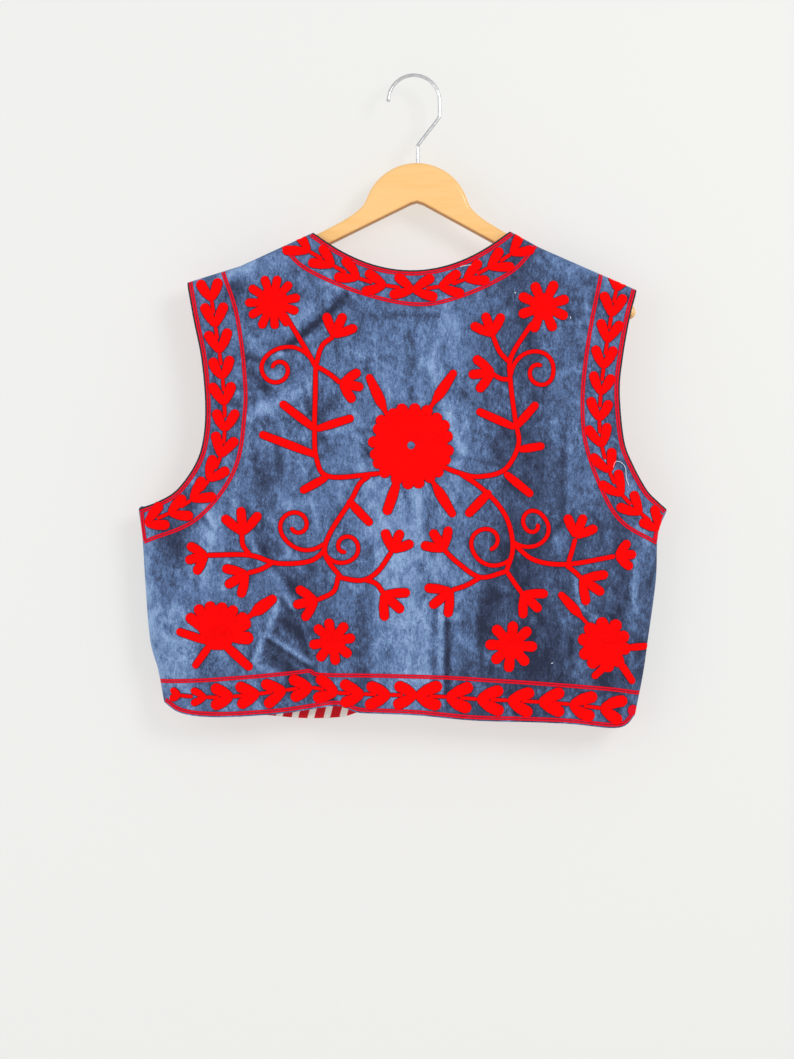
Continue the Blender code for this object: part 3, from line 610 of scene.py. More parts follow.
def along(curve, shares):
    """Points of a curve at these shares of its length."""
    return at_length(curve, np.asarray(shares) * lengths(curve)[-1])


def shoulder_drop(x):
    _, line_x, line_drop = zip(*SHOULDER_LINE)
    return np.interp(x, line_x, line_drop)


def side_curve(table, side, front=False):
    """The curve of an armhole or a side seam. In the fronts it is scooped out further."""
    scoop = FRONTS[side].inwards * front
    return through([
        (getattr(row, side) + scoop * row.front_scoop, getattr(row, side + "_drop")) for row in table
    ])


SEAM_CURVES = {side: side_curve(SIDE_SEAM, side) for side in FRONTS}


def seam_x(drop, side):
    """x of a side seam; above the underarm it keeps the underarm's x."""
    curve = SEAM_CURVES[side]
    return np.interp(drop, curve[:, 1], curve[:, 0])


def turned(share):
    """Depth, from 0 to 1, of cloth that turns through a quarter circle or ellipse."""
    return np.sqrt(1 - (1 - np.clip(share, 0, 1)) ** 2)


def turn_shares():
    """Shares of the way through a turn, at equal angles."""
    return 1 - np.cos(np.linspace(0, math.pi / 2, TURN_STEPS + 1))


def outer_side(side, front, rows):
    """Armhole and side seam, one point for each row."""
    above = rows <= UNDERARM_SHARE
    return np.vstack([
        along(side_curve(ARMHOLE, side, front), rows[above] / UNDERARM_SHARE),
        along(SEAM_CURVES[side], (rows[~above] - UNDERARM_SHARE) / (1 - UNDERARM_SHARE)),
    ])


def shoulder(x):
    return np.column_stack([x, shoulder_drop(x)])


def neck_curve(shares):
    """The back neckline at shares from -1, the left neck point, to 1."""
    centre, half = (LEFT_NECK_X + RIGHT_NECK_X) / 2, (RIGHT_NECK_X - LEFT_NECK_X) / 2
    x = centre + half * shares
    neck_drop = np.interp(x, (LEFT_NECK_X, RIGHT_NECK_X), shoulder_drop([LEFT_NECK_X, RIGHT_NECK_X]))
    return np.column_stack([x, NAPE_DROP - (NAPE_DROP - neck_drop) * shares**2])


def back_top():
    """Left shoulder seam, back neckline and right shoulder seam, one point for each column."""
    left = np.linspace(ARMHOLE[0].left, LEFT_NECK_X, SHOULDER_COLUMNS + 1)
    right = np.linspace(RIGHT_NECK_X, ARMHOLE[0].right, SHOULDER_COLUMNS + 1)
    shares = np.sin(np.linspace(-math.pi / 2, math.pi / 2, NECK_COLUMNS + 1)[1:-1])
    return np.vstack([shoulder(left), neck_curve(shares), shoulder(right)])


def free_edge(side):
    """A front's neckline, free edge and round corner as one curve."""
    front = FRONTS[side]
    neck_drop = float(shoulder_drop(front.neck_x))
    wide, deep = front.edge_x - front.neck_x, BREAK_DROP - neck_drop
    neckline = [(front.neck_x + row.across * wide, neck_drop + row.down * deep) for row in NECKLINE]
    straight = front.hem_drop - FRONT_CORNER - BREAK_DROP
    middle = [(front.edge_x, BREAK_DROP + straight * share) for share in FREE_EDGE_SHARES]
    return [*neckline, *middle, *round_corner(front, 0, math.pi / 4)]


def round_corner(front, start, end):
    """Points of a front's round corner; the angle is 0 on the free edge and a right angle at the hem."""
    angles = np.linspace(start, end, CORNER_POINTS)
    x = front.edge_x - front.inwards * FRONT_CORNER * (1 - np.cos(angles))
    return np.column_stack([x, front.hem_drop - FRONT_CORNER * (1 - np.sin(angles))])


# ---------------------------------------------------------------- the cloth's depth

def ridge(fold, x, drop, size, unit=1.0):
    """A soft ridge or hollow along a straight run, fading past its ends."""
    from_x, from_drop, to_x, to_drop = (value * unit for value in fold[1:5])
    far = RIDGE_REACH * fold[-1] * unit
    if x.max() < min(from_x, to_x) - far or x.min() > max(from_x, to_x) + far:
        return 0.0
    if drop.max() < min(from_drop, to_drop) - far or drop.min() > max(from_drop, to_drop) + far:
        return 0.0
    run_x, run_drop = to_x - from_x, to_drop - from_drop
    share = (x - from_x) * run_x + (drop - from_drop) * run_drop
    share = np.clip(share / max(run_x**2 + run_drop**2, SEAM_GAP**2), 0, 1)
    away = np.hypot(x - from_x - share * run_x, drop - from_drop - share * run_drop)
    return size * np.exp(-((away / (fold[-1] * unit)) ** 2))


def random_marks(strewn, front):
    """Short creases or nap strokes, strewn over a panel."""
    chance = np.random.default_rng(strewn.seed + front)
    marks = []
    for number in range(strewn.count):
        x, drop = chance.uniform(*STREWN_X), chance.uniform(*STREWN_DROP)
        lean = math.radians(90 + chance.normal(0, STREWN_LEAN))
        reach = chance.uniform(*strewn.lengths)
        size = chance.uniform(*strewn.sizes) * chance.choice([-1, 1])
        end = (x + reach * math.cos(lean), drop + reach * math.sin(lean))
        marks.append(strewn.kind(f"mark {number}", x, drop, *end, size, chance.uniform(*strewn.widths)))
    return marks


FOLDS = {False: BACK_FOLDS, True: FRONT_FOLDS}
CREASES = {
    front: [*placed_creases, *random_marks(WRINKLES, front)]
    for front, placed_creases in ((False, BACK_CREASES), (True, FRONT_CREASES))
}
PLACED_NAP_AND_SHADE = [NapAndShade(place, *mark) for place, marks in BACK_NAP_AND_SHADE.items() for mark in marks]
NAP_AND_SHADE_MARKS = {False: PLACED_NAP_AND_SHADE + random_marks(STROKES, False), True: random_marks(STROKES, True)}
DEPTH_CURVES = {
    False: through([(row.below, row.back) for row in DEPTHS]),
    True: through([(row.below, row.front) for row in DEPTHS]),
}


def depth(x, drop, front):
    """How far the cloth's outer face stands from the plane y = 0."""
    below = drop - shoulder_drop(x)
    out = np.interp(below, *DEPTH_CURVES[front].T)
    for fold in FOLDS[front]:
        out = out + ridge(fold, x, drop, fold.height)
    for crease in CREASES[front]:
        out = out + ridge(crease, x, drop, crease.height * MM, MM)
    side_turn = FRONT_SIDE_TURN if front else BACK_SIDE_TURN
    from_seam = np.minimum(x - seam_x(drop, "left"), seam_x(drop, "right") - x)
    return SEAM_GAP / 2 + out * turned(below / SHOULDER_TURN) * turned(from_seam / side_turn)


def painted_crease_shade(x, drop, front):
    """How far the small creases lean towards the light, which comes from the upper right of the back; the
    velvet's tone takes it as painted shade and highlight.
    """
    step = 0.0015
    toward = -step if front else step
    lean = np.zeros_like(x)
    for crease in CREASES[front]:
        size = crease.height * MM
        lean = lean + ridge(crease, x - toward, drop + step, size, MM)
        lean = lean - ridge(crease, x + toward, drop - step, size, MM)
    return lean / (2 * math.sqrt(2) * step)


def nap_and_painted_shade(x, drop, front):
    """The velvet's tone, from dark, below 0, to light: partly which way the pile lies and random strokes,
    partly painted shade and highlight from creases, folds and the back's listed marks.
    """
    # painted shade and highlight on the creases, by how they lean to the light
    tone = PAINTED_CREASE_SHADE_GAIN * painted_crease_shade(x, drop, front)
    for mark in NAP_AND_SHADE_MARKS[front]:
        tone = tone + ridge(mark, x, drop, mark.tone, MM)
    if front:
        # painted highlight on the fronts' ridges and painted shade in their hollows
        for fold in FRONT_FOLDS:
            tone = tone + ridge(fold, x, drop, FRONT_FOLD_PAINTED_SHADE * np.sign(fold.height))
    return np.clip(tone, -TONE_LIMIT, TONE_LIMIT)


def on_cloth(x, drop, lift, front):
    """Points at this height over the cloth's outer face."""
    step = 0.0002
    y = depth(x, drop, front)
    slope_x = (depth(x + step, drop, front) - depth(x - step, drop, front)) / (2 * step)
    slope_drop = (depth(x, drop + step, front) - depth(x, drop - step, front)) / (2 * step)
    outwards = 1 if front else -1
    normal = np.stack([-slope_x, np.full_like(y, outwards), slope_drop], axis=-1)
    normal /= np.linalg.norm(normal, axis=-1, keepdims=True)
    base = np.stack([x, outwards * y, -drop], axis=-1)
    return base + lift[..., None] * normal


# ---------------------------------------------------------------- panels

def panel_rows():
    """Shares of the way down a panel, denser where it turns over the shoulder."""
    turn = turn_shares() * SHOULDER_TURN / PANEL_HEIGHT
    above = np.linspace(turn[-1], UNDERARM_SHARE, ROWS_ABOVE + 1)[1:]
    below = np.linspace(UNDERARM_SHARE, 1 - LINING_INSET / PANEL_HEIGHT, ROWS_BELOW + 1)[1:]
    return np.concatenate([turn, above, below, [1.0]])


def patch(top, bottom, left, right, rows):
    """The Coons patch between four edges, as an array of rows of (x, drop)."""
    down = rows[:, None, None]
    across = np.linalg.norm(bottom - bottom[0], axis=1)
    across = (across / across[-1])[None, :, None]
    from_edges = (
        (1 - down) * top[None] + down * bottom[None]
        + (1 - across) * left[:, None] + across * right[:, None]
    )
    top_corners = (1 - across) * top[0] + across * top[-1]
    bottom_corners = (1 - across) * bottom[0] + across * bottom[-1]
    return from_edges - (1 - down) * top_corners - down * bottom_corners


def puckered(hem):
    """Points of the back's hem, drawn up at the tuck."""
    away = hem[:, 0] - TUCK_X
    away /= np.where(away < 0, TUCK_LEFT, TUCK_RIGHT)
    return hem - np.column_stack([np.zeros(len(hem)), TUCK_HEIGHT * np.exp(-(away**2))])


def back_patch():
    """Columns run from the left side to the right one."""
    rows = panel_rows()
    hem = through(BACK_HEM)
    turn = turn_shares() * BACK_SIDE_TURN / lengths(hem)[-1]
    middle = np.linspace(turn[-1], 1 - turn[-1], BACK_MIDDLE_COLUMNS + 1)[1:-1]
    bottom = puckered(along(hem, np.concatenate([turn, middle, 1 - turn[::-1]])))
    return patch(back_top(), bottom, *(outer_side(side, False, rows) for side in FRONTS), rows)


def front_hem(side):
    corner = round_corner(FRONTS[side], math.pi / 2, math.pi / 4)
    return through([*FRONTS[side].hem, *corner[1:]])


def front_patch(side):
    """Columns run from the outer side to the free edge, where one is kept for the lining's edge."""
    rows = panel_rows()
    hem = front_hem(side)
    width = lengths(hem)[-1]
    turn = turn_shares() * FRONT_SIDE_TURN / width
    inset = 1 - LINING_INSET / width
    shares = np.concatenate([turn, np.linspace(turn[-1], inset, FRONT_MIDDLE_COLUMNS + 1)[1:], [1.0]])
    tip_x = FRONTS[side].tip_x
    top = shoulder(tip_x + (FRONTS[side].neck_x - tip_x) * shares)
    free_side = along(through(free_edge(side)), rows)
    return patch(top, along(hem, shares), outer_side(side, True, rows), free_side, rows)


def outer_face(grid, front):
    x, drop = grid[..., 0], grid[..., 1]
    y = depth(x, drop, front)
    return np.stack([x, y if front else -y, -drop], axis=-1)


def moved_in(face, distance, front):
    """The face moved inwards along its normals, kept on its own side of the seams."""
    normal = np.cross(np.gradient(face, axis=1), np.gradient(face, axis=0))
    normal /= np.linalg.norm(normal, axis=-1, keepdims=True)
    outwards = 1 if front else -1
    normal *= np.sign(normal[..., 1:2]) * outwards
    inner = face - distance * normal
    kept = np.maximum(outwards * inner[..., 1], SEAM_GAP / 2)
    inner[..., 1] = outwards * kept
    return inner


def attribute(mesh, name, values):
    """Keeps a value for each point of the mesh, for its material to read."""
    mesh.attributes.new(name, "FLOAT", "POINT").data.foreach_set("value", np.asarray(values, np.float32))


def quads(index):
    """The four corners of each face of a grid."""
    return np.stack([index[:-1, :-1], index[1:, :-1], index[1:, 1:], index[:-1, 1:]], axis=-1).reshape(-1, 4)


def wall(name, outer, inner, grid, front, materials, slot, nodes):
    """A closed wall between two faces that have the same grid. The inner face has the last material."""
    rows, columns = outer.shape[:2]
    index = np.arange(rows * columns).reshape(rows, columns)
    corners = quads(index)
    edge = np.concatenate([index[:, 0], index[-1, 1:], index[-2::-1, -1], index[0, -2:0:-1]])
    after = np.roll(edge, -1)
    rim = np.column_stack([edge, edge + rows * columns, after + rows * columns, after])
    faces = [*corners.tolist(), *(corners[:, ::-1] + rows * columns).tolist(), *rim.tolist()]
    points = np.vstack([outer.reshape(-1, 3), inner.reshape(-1, 3)])
    mesh = bpy.data.meshes.new(name)
    mesh.from_pydata(points.tolist(), [], faces)
    # the tone holds painted shade and highlight as well as the pile's lie
    tone = nap_and_painted_shade(grid[..., 0], grid[..., 1], front).ravel()
    attribute(mesh, "nap_and_painted_shade", np.concatenate([tone, tone]))
    number = np.zeros(len(faces), np.int32)
    number[len(corners):2 * len(corners)] = len(materials) - 1
    piece = placed(name, mesh, materials)
    mesh.polygons.foreach_set("material_index", number)
    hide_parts(*nodes)
    return piece


def placed(name, mesh, materials):
    """A riding object of the mesh, with its faces turned outwards and shaded smooth."""
    shape = bmesh.new()
    shape.from_mesh(mesh)
    bmesh.ops.recalc_face_normals(shape, faces=shape.faces)
    shape.to_mesh(mesh)
    shape.free()
    mesh.shade_smooth()
    mesh.set_sharp_from_angle(angle=SHARP_EDGE)
    return riding(name, mesh, materials)


def riding(name, data, materials):
    """An object of a mesh or curve that rides on the frame's only body."""
    for material in materials:
        data.materials.append(material)
    thing = bpy.data.objects.new(name, data)
    bpy.context.scene.collection.objects.link(thing)
    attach(thing, "root")
    return thing


# ---------------------------------------------------------------- stitching

BEAD = 0.05  # how much each chain stitch bulges, as a share of its width
CAP_SHARE, CAP_POINTS = 0.45, 6  # a round end's largest share of a stroke, and the points along it
FINEST = 0.02  # least half width
HEADING_STEP = 0.4  # a stroke's heading is taken this far before and after each point
GIVEN_PATH = 30  # a path of this many points or more is used as it is, without rounding it
PATH_STEPS, RADII_STEPS = 8, 12  # steps from point to point of a path, and from radius to radius of a curl
BORDER_POINTS, BACK_POINTS, LINE_POINTS = 260, 240, 200
STRAIGHT_POINTS, EDGE_POINTS, SPIRAL_POINTS = 160, 120, 70
HEART_BACK = 4  # a heart's middle line runs from its tip to the row's line this far behind it
FIRST_GROOVE = 0.3  # grooves start this share of a row in from a motif's outline
DISC_POINTS, DISC_RINGS = 24, 6  # the fewest round a disc and out from its middle
POINTS_PER_MM, RING_STEP = 3, 0.7  # points round a disc for each millimetre of its radius, and between rings
PETAL_LEAN, PETAL_VARIES, PETAL_ROOT = 1.6, 0.02, 0.3  # degrees, and shares of its length and of the core
HEART_LEAN, HEART_VARIES, LOBE_LEAN = 0.05, 0.04, 1.5  # radians, share of its length, and degrees
PILE_LIFT, SUNK = 0.28, -0.1  # the dark ring beside a thread, pressed pile with painted shadow, and its outer edge
SEAM_MARGIN, SEAM_FADE = 0.0005, 0.0022  # stitching ends this far from a seam, and is flat close to it


class Stitching:
    """Raised rows of chain stitch, gathered into one mesh on one face of the cloth."""

    def __init__(self, name, front=False):
        self.name, self.front = name, front
        self.points, self.faces, self.along, self.inset = [], [], [], []
        self.count = 0

    def grid(self, x, drop, lift, along_thread, inset):
        """Adds a grid of points in metres, with its lift over the cloth in metres."""
        rows, columns = x.shape
        points = on_cloth(x, drop, lift, self.front)
        index = self.count + np.arange(rows * columns).reshape(rows, columns)
        self.faces.append(quads(index))
        self.points.append(points.reshape(-1, 3))
        self.along.append(along_thread.ravel())
        self.inset.append(inset.ravel())
        self.count += rows * columns

    def stroke(self, path, width, profile="even", thread=WOOL, caps=(1, 1)):
        """A band of stitch rows along a path in millimetres, with round ends."""
        curve = through(path, PATH_STEPS) if len(path) < GIVEN_PATH else np.asarray(path, float)
        total = lengths(curve)[-1]
        shares, widths = zip(*PROFILES[profile])
        ends = [min(0.5 * width * share, CAP_SHARE * total) for share in (widths[0], widths[-1])]
        bow = 1 - np.cos(np.linspace(0, math.pi / 2, CAP_POINTS))
        steps = max(2, math.ceil((total - sum(ends)) / thread.step))
        distance = np.concatenate([
            ends[0] * bow[:-1],
            np.linspace(ends[0], total - ends[1], steps + 1),
            total - ends[1] * bow[-2::-1],
        ])
        half = 0.5 * width * np.interp(distance / total, shares, widths)
        half = half * (1 - BEAD + BEAD * np.sin(2 * math.pi * distance / LINK))
        for cap, end, from_end in zip(caps, ends, (distance, total - distance)):
            half = half * (turned(from_end / end) if cap else 1)
        half = np.maximum(half, FINEST)[:, None]
        ahead = at_length(curve, np.minimum(distance + HEADING_STEP, total))
        side = right_of(ahead - at_length(curve, np.maximum(distance - HEADING_STEP, 0)))
        columns = 2 * max(2, math.ceil(width / 2 / ACROSS_STEP)) + 1
        beside = half + thread.skirt * SKIRT
        across = half * np.sin(np.linspace(-math.pi / 2, math.pi / 2, columns))
        reach = np.hstack([-beside, across, beside[:, ::-1]])
        at = at_length(curve, distance)[:, None] + side[:, None] * reach[..., None]
        along_thread = np.repeat(distance[:, None], reach.shape[1], axis=1)
        self.raised(at, half - np.abs(reach), along_thread, thread)

    def raised(self, at, inset, along_thread, thread, shade_from=0.0):
        """Turns the distance from a motif's outline into rounded rows, and keeps them inside the seams."""
        rise = turned(inset / min(1.0, thread.lift))
        rows = 0.5 + 0.5 * np.cos(2 * math.pi * inset / ROW)
        rise = rise * (1 - thread.groove * rows * np.clip(inset / ROW - FIRST_GROOVE, 0, 1))
        height = (thread.lift - PILE_LIFT) * rise + PILE_LIFT
        height = np.where(inset < -0.5 * thread.skirt - 1e-6, SUNK, height)
        x, drop = at[..., 0] * MM, at[..., 1] * MM
        x = np.clip(x, seam_x(drop, "left") + SEAM_MARGIN, seam_x(drop, "right") - SEAM_MARGIN)
        drop = np.maximum(drop, shoulder_drop(x) + SEAM_MARGIN)
        room = np.minimum(x - seam_x(drop, "left"), seam_x(drop, "right") - x)
        room = np.minimum(room, drop - shoulder_drop(x))
        height = height * MM * turned((room - SEAM_MARGIN) / SEAM_FADE)
        self.grid(x, drop, height, along_thread * MM, (inset + np.where(inset > 0, shade_from, 0)) * MM)

    def disc(self, disc, hole=0.0, thread=WOOL):
        """A round filled with rings of stitching."""
        angles = np.linspace(0, 2 * math.pi, max(DISC_POINTS, int(disc.radius * POINTS_PER_MM)) + 1)[:, None]
        rings = max(DISC_RINGS, int((disc.radius - hole) / RING_STEP))
        reach = hole + (disc.radius - hole) * np.linspace(0, 1, rings + 1)
        reach = np.concatenate([reach, disc.radius + thread.skirt * SKIRT[::-1]])[None, :]
        at = np.stack([disc.x + reach * np.cos(angles), disc.drop + reach * np.sin(angles)], axis=-1)
        inset = np.minimum(disc.radius - reach, reach - hole if hole else disc.radius) + 0 * angles
        self.raised(at, inset, reach * angles, thread, 0 if hole else ROW / 2)

    def flower(self, flower):
        """Petals round a core; each petal differs a little."""
        chance = np.random.default_rng(int(flower.drop))
        for heading in np.linspace(flower.first, flower.last, flower.petals):
            out = towards(math.radians(heading + chance.normal(0, PETAL_LEAN)))
            reach = flower.radius * (1 + chance.normal(0, PETAL_VARIES))
            root = PETAL_ROOT * flower.core + flower.hole
            path = [(flower.x, flower.drop) + out * at for at in (root, (root + reach) / 2, reach)]
            self.stroke(path, flower.width, "petal", caps=(0, 1))
        self.disc(Disc("core", flower.x, flower.drop, flower.core), flower.hole, CORE)

    def sprig(self, sprig):
        """Three fingers on a palm."""
        palm = (sprig.x, sprig.drop) + towards(math.radians(sprig.heading)) * SPRIG_PALM
        self.disc(Disc("palm", *palm, SPRIG_PALM))
        for turn in SPRIG_TURNS:
            out = towards(math.radians(sprig.heading + turn))
            path = [(sprig.x, sprig.drop) + out * reach for reach in (0, sprig.reach / 2, sprig.reach)]
            self.stroke(path, SPRIG_WIDTH, "finger")

    def curl(self, curl):
        share = np.linspace(0, 1, SPIRAL_POINTS)
        radii = through(list(zip(np.linspace(0, 1, len(curl.radii)), curl.radii)), RADII_STEPS)
        radius = np.interp(share, *radii.T)
        angle = np.radians(curl.first + curl.turn * share)
        path = np.column_stack([curl.x + radius * np.cos(angle), curl.drop + radius * np.sin(angle)])
        self.stroke(path, CURL_WIDTH)

    def leaf(self, leaf):
        middle = ((leaf.x + leaf.to_x) / 2, (leaf.drop + leaf.to_drop) / 2)
        self.stroke([(leaf.x, leaf.drop), middle, (leaf.to_x, leaf.to_drop)], leaf.width, leaf.kind)

    def hearts(self, line, count, width, thin=0, longest=HEART_REACH):
        """Hearts in a row along a line, each tip leading on into the notch of the next one."""
        length = lengths(line)[-1]
        pitch = length / count
        chance = np.random.default_rng(int(10 * length))
        for number in range(count):
            tip_at = (number + 1) * pitch
            stem_end = min(tip_at + pitch - STEM_SHORT, length)
            tip, behind, ahead = at_length(line, [tip_at, tip_at - HEART_BACK, stem_end])
            back = math.atan2(*(behind - tip)[::-1]) + chance.normal(0, HEART_LEAN)
            full, wide = (THIN_REACH[number], THIN_HEART) if number < thin else (longest, width)
            for side in (-1, 1):
                reach = full * (1 + chance.normal(0, HEART_VARIES))
                path = []
                for share, bend in HEART_BEND:
                    heading = back + side * math.radians(bend + chance.normal(0, LOBE_LEAN))
                    path.append(tip + reach * share * towards(heading))
                self.stroke(path, wide, "lobe")
            if number < count - 1:
                self.stroke([tip, (tip + ahead) / 2, ahead], HEART_STEM)

    def line(self, path):
        """A border line: two rows side by side."""
        for side in (-0.5, 0.5):
            self.stroke(offset(path, side * LINE_APART), LINE_ROW, thread=LINE)

    def piece(self, material):
        mesh = bpy.data.meshes.new(self.name)
        mesh.from_pydata(np.vstack(self.points).tolist(), [], np.vstack(self.faces).tolist())
        attribute(mesh, "thread_along", np.concatenate(self.along))
        attribute(mesh, "thread_inset", np.concatenate(self.inset))
        mesh.shade_smooth()
        if not self.front:
            mesh.flip_normals()
        return riding(self.name, mesh, [material])


def towards(angle):
    """A step of length 1 at this angle, clockwise from +x."""
    return np.array([math.cos(angle), math.sin(angle)])


def right_of(tangent):
    """Steps of length 1, square to these ones and to the right of them."""
    return np.column_stack([-tangent[:, 1], tangent[:, 0]]) / np.hypot(*tangent.T)[:, None]


def offset(curve, distance):
    """The curve moved to its right-hand side by a distance, which may differ from point to point."""
    return curve + np.reshape(distance, (-1, 1)) * right_of(np.gradient(curve, axis=0))


def cut(curve, start, end, points):
    """The stretch of a curve from start to short of its end, in millimetres."""
    return at_length(curve, np.linspace(start, lengths(curve)[-1] - end, points))


def straight_end(curve, end):
    """The curve with its last stretch, in millimetres, made straight."""
    kept = cut(curve, 0, end, STRAIGHT_POINTS)
    ahead = kept[-1] - kept[-2]
    reach = np.linspace(0.1, 1, 10)[:, None] * end
    return np.vstack([kept, kept[-1] + reach * ahead / np.hypot(*ahead)])


def back_edges():
    """The back's neckline, armholes and hem in millimetres, and which side of each the cloth is on."""
    armholes = [(side_curve(ARMHOLE, side) / MM, -front.inwards) for side, front in FRONTS.items()]
    hem = puckered(through(BACK_HEM)) / MM
    return ((neck_curve(np.linspace(-1, 1, EDGE_POINTS)) / MM, 1), *armholes, (hem, -1))


def front_edges(side):
    """A front's armhole, and its neckline, free edge, round corner and hem as one."""
    inwards = FRONTS[side].inwards
    hem = front_hem(side)
    hem = at_length(hem, np.linspace(0, lengths(hem)[-1], EDGE_POINTS))
    edge = np.vstack([through(free_edge(side)), hem[-2::-1]]) / MM
    return ((side_curve(ARMHOLE, side, True) / MM, -inwards), (edge, inwards))


def back_lines():
    """The border's double lines along the edges and inside them, and two knots."""
    lines = Stitching("back_border_lines")
    for edge, inwards in back_edges():
        lines.line(cut(offset(edge, inwards * EDGE_LINE), LINE_GAP, LINE_GAP, BACK_POINTS))
    for points in BORDER_LINES.values():
        lines.line(cut(through(points), 0, 0, LINE_POINTS))
    for knot in KNOTS:
        lines.disc(knot)
    return lines


def back_motifs():
    """The border's hearts, the vines with their leaves, and the flowers, as a piece each."""
    hearts = Stitching("back_border_hearts")
    for row in BACK_HEARTS:
        hearts.hearts(through(row.line), row.count, row.width, row.thin, row.reach)
    vines = Stitching("back_vines")
    for path in STEMS.values():
        vines.stroke(path, STEM_WIDTH)
    for curl in CURLS:
        vines.curl(curl)
    for sprig in SPRIGS:
        vines.sprig(sprig)
    for leaf in LEAVES:
        vines.leaf(leaf)
    flowers = Stitching("back_flowers")
    for flower in BACK_FLOWERS:
        flowers.flower(flower)
    for disc in FAN_DISCS:
        flowers.disc(disc)
    return hearts, vines, flowers


def front_motifs(side):
    """Lines and hearts along a front's armhole and round its neckline, free edge and hem."""
    lines = Stitching(f"front_border_lines_{side}", True)
    hearts = Stitching(f"front_border_hearts_{side}", True)
    for edge, inwards in front_edges(side):
        edge = cut(edge, 0, 0, BORDER_POINTS)
        lines.line(cut(offset(edge, inwards * EDGE_LINE), LINE_GAP, LINE_GAP, BORDER_POINTS))
        width = FRONT_BAND
        if edge[-1, 1] > LOWER_EDGE:
            to_go = lengths(edge)[-1] - lengths(edge)
            width = np.interp(to_go, (0, NARROWING), (SEAM_BAND, FRONT_BAND))
            edge = cut(straight_end(edge, HEM_TURN), 0, 0, BORDER_POINTS)
        lines.line(cut(offset(edge, inwards * width), LINE_GAP, LINE_GAP, BORDER_POINTS))
        middle = cut(offset(edge, inwards * (width + EDGE_LINE) / 2), 0, HEARTS_GAP, LINE_POINTS)
        hearts.hearts(middle, round(lengths(middle)[-1] / HEART_PITCH), FRONT_HEART)
    return lines, hearts


def shaded_edges(name, edges, front):
    """A dark strip along the edge, just outside the border's outer line, where the velvet turns over: painted
    shade on the turned edge.
    """
    shaded_strip = Stitching(name, front)
    for edge, inwards in edges:
        path = cut(offset(edge, inwards * EDGE_SHADE_WIDTH / 2), LINE_GAP, LINE_GAP, LINE_POINTS)
        shaded_strip.stroke(path, EDGE_SHADE_WIDTH, thread=EDGE_SHADE_THREAD)
    return shaded_strip


def lint():
    """Short bits of lint, bowed a little, and the loose ends of thread."""
    bits = Stitching("lint")
    chance = np.random.default_rng(LINT_SEED)
    for x, drop in LINT:
        lean = chance.uniform(0, math.pi)
        end_x, end_drop = x + LINT_LENGTH * math.cos(lean), drop + LINT_LENGTH * math.sin(lean)
        middle = ((x + end_x) / 2 + LINT_BOW, (drop + end_drop) / 2)
        bits.stroke([(x, drop), middle, (end_x, end_drop)], LINT_WIDTH, thread=LINT_BIT)
    for points in LOOSE_THREADS:
        bits.stroke(points, LOOSE_WIDTH, thread=LOOSE)
    return bits


# ---------------------------------------------------------------- hanger

DOME_POINTS, EDGE_SECTIONS, ARCH_POINTS = 24, 8, 40
WIRE_ROUND, BEND_STEPS = 6, 4


def hanger_outline():
    """The hanger's closed outline in x and drop, tilted as it hangs."""
    angles = np.linspace(0, DOME_SPREAD, DOME_POINTS)
    dome = np.column_stack([
        DOME_RADIUS * np.sin(angles), DOME_TOP + DOME_RADIUS * (1 - np.cos(angles))
    ])
    arm = through([dome[-1], *ARM_OUTLINE], BEND_STEPS)[1:]
    half = np.vstack([dome, arm, [0, NOTCH_DROP]])
    outline = np.vstack([half, half[-2:0:-1] * (-1, 1)])
    out, drop = outline[:, 0], outline[:, 1] - DOME_TOP
    return np.column_stack([
        HANGER_X + out * math.cos(HANGER_TILT) - drop * math.sin(HANGER_TILT),
        DOME_TOP + drop * math.cos(HANGER_TILT) + out * math.sin(HANGER_TILT),
    ])


def inset_loop(outline, distance):
    """The closed outline moved inwards by a distance, with mitred corners."""
    normal = right_of(np.roll(outline, -1, axis=0) - outline)
    before = np.roll(normal, 1, axis=0)
    mitre = (normal + before) / (1 + (normal * before).sum(axis=1))[:, None]
    return outline + distance * mitre


def make_hanger(wood):
    """The flat body, with a rounded edge made of inset outlines."""
    outline = hanger_outline()
    half = HANGER_THICK / 2
    angles = np.linspace(0, math.pi / 2, EDGE_SECTIONS)
    sections = [(HANGER_EDGE * (1 - math.sin(a)), half - HANGER_EDGE * (1 - math.cos(a))) for a in angles]
    sections += [(step, -y) for step, y in reversed(sections)]
    rings = [[(x, -y, -drop) for x, drop in inset_loop(outline, step)] for step, y in sections]
    mesh = bmesh.new()
    loops = [[mesh.verts.new(point) for point in ring] for ring in rings]
    for loop, following in zip(loops, loops[1:]):
        for i, vertex in enumerate(loop):
            j = (i + 1) % len(loop)
            mesh.faces.new([vertex, following[i], following[j], loop[j]])
    mesh.faces.new(loops[0])
    mesh.faces.new(loops[-1])
    body = bpy.data.meshes.new("hanger_wood")
    mesh.to_mesh(body)
    mesh.free()
    piece = placed("hanger_wood", body, [wood])
    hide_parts("hanger_body")
    return piece


def make_hook(steel):
    """The wire, from the foot of its stem to the ball at its end."""
    centre_drop = HOOK_RADIUS - WIRE / 2
    angles = np.linspace(math.pi / 2, -HOOK_END, ARCH_POINTS)
    arch = np.column_stack([HOOK_RADIUS * np.sin(angles), centre_drop - HOOK_RADIUS * np.cos(angles)])
    path = through([*WIRE_BEND, *arch], BEND_STEPS)
    curve = bpy.data.curves.new("hook_wire", "CURVE")
    curve.dimensions = "3D"
    curve.bevel_depth = WIRE / 2
    curve.bevel_resolution = WIRE_ROUND
    curve.use_fill_caps = True
    spline = curve.splines.new("POLY")
    spline.points.add(len(path) - 1)
    for point, (x, drop) in zip(spline.points, path):
        point.co = (x, 0, -drop, 1)
    for point, radius in zip(list(spline.points)[-len(BALL_SHAPE):], BALL_SHAPE):
        point.radius = radius
    hook = riding("hook_wire", curve, [steel])
    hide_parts("hanger_hook")


# ---------------------------------------------------------------- materials

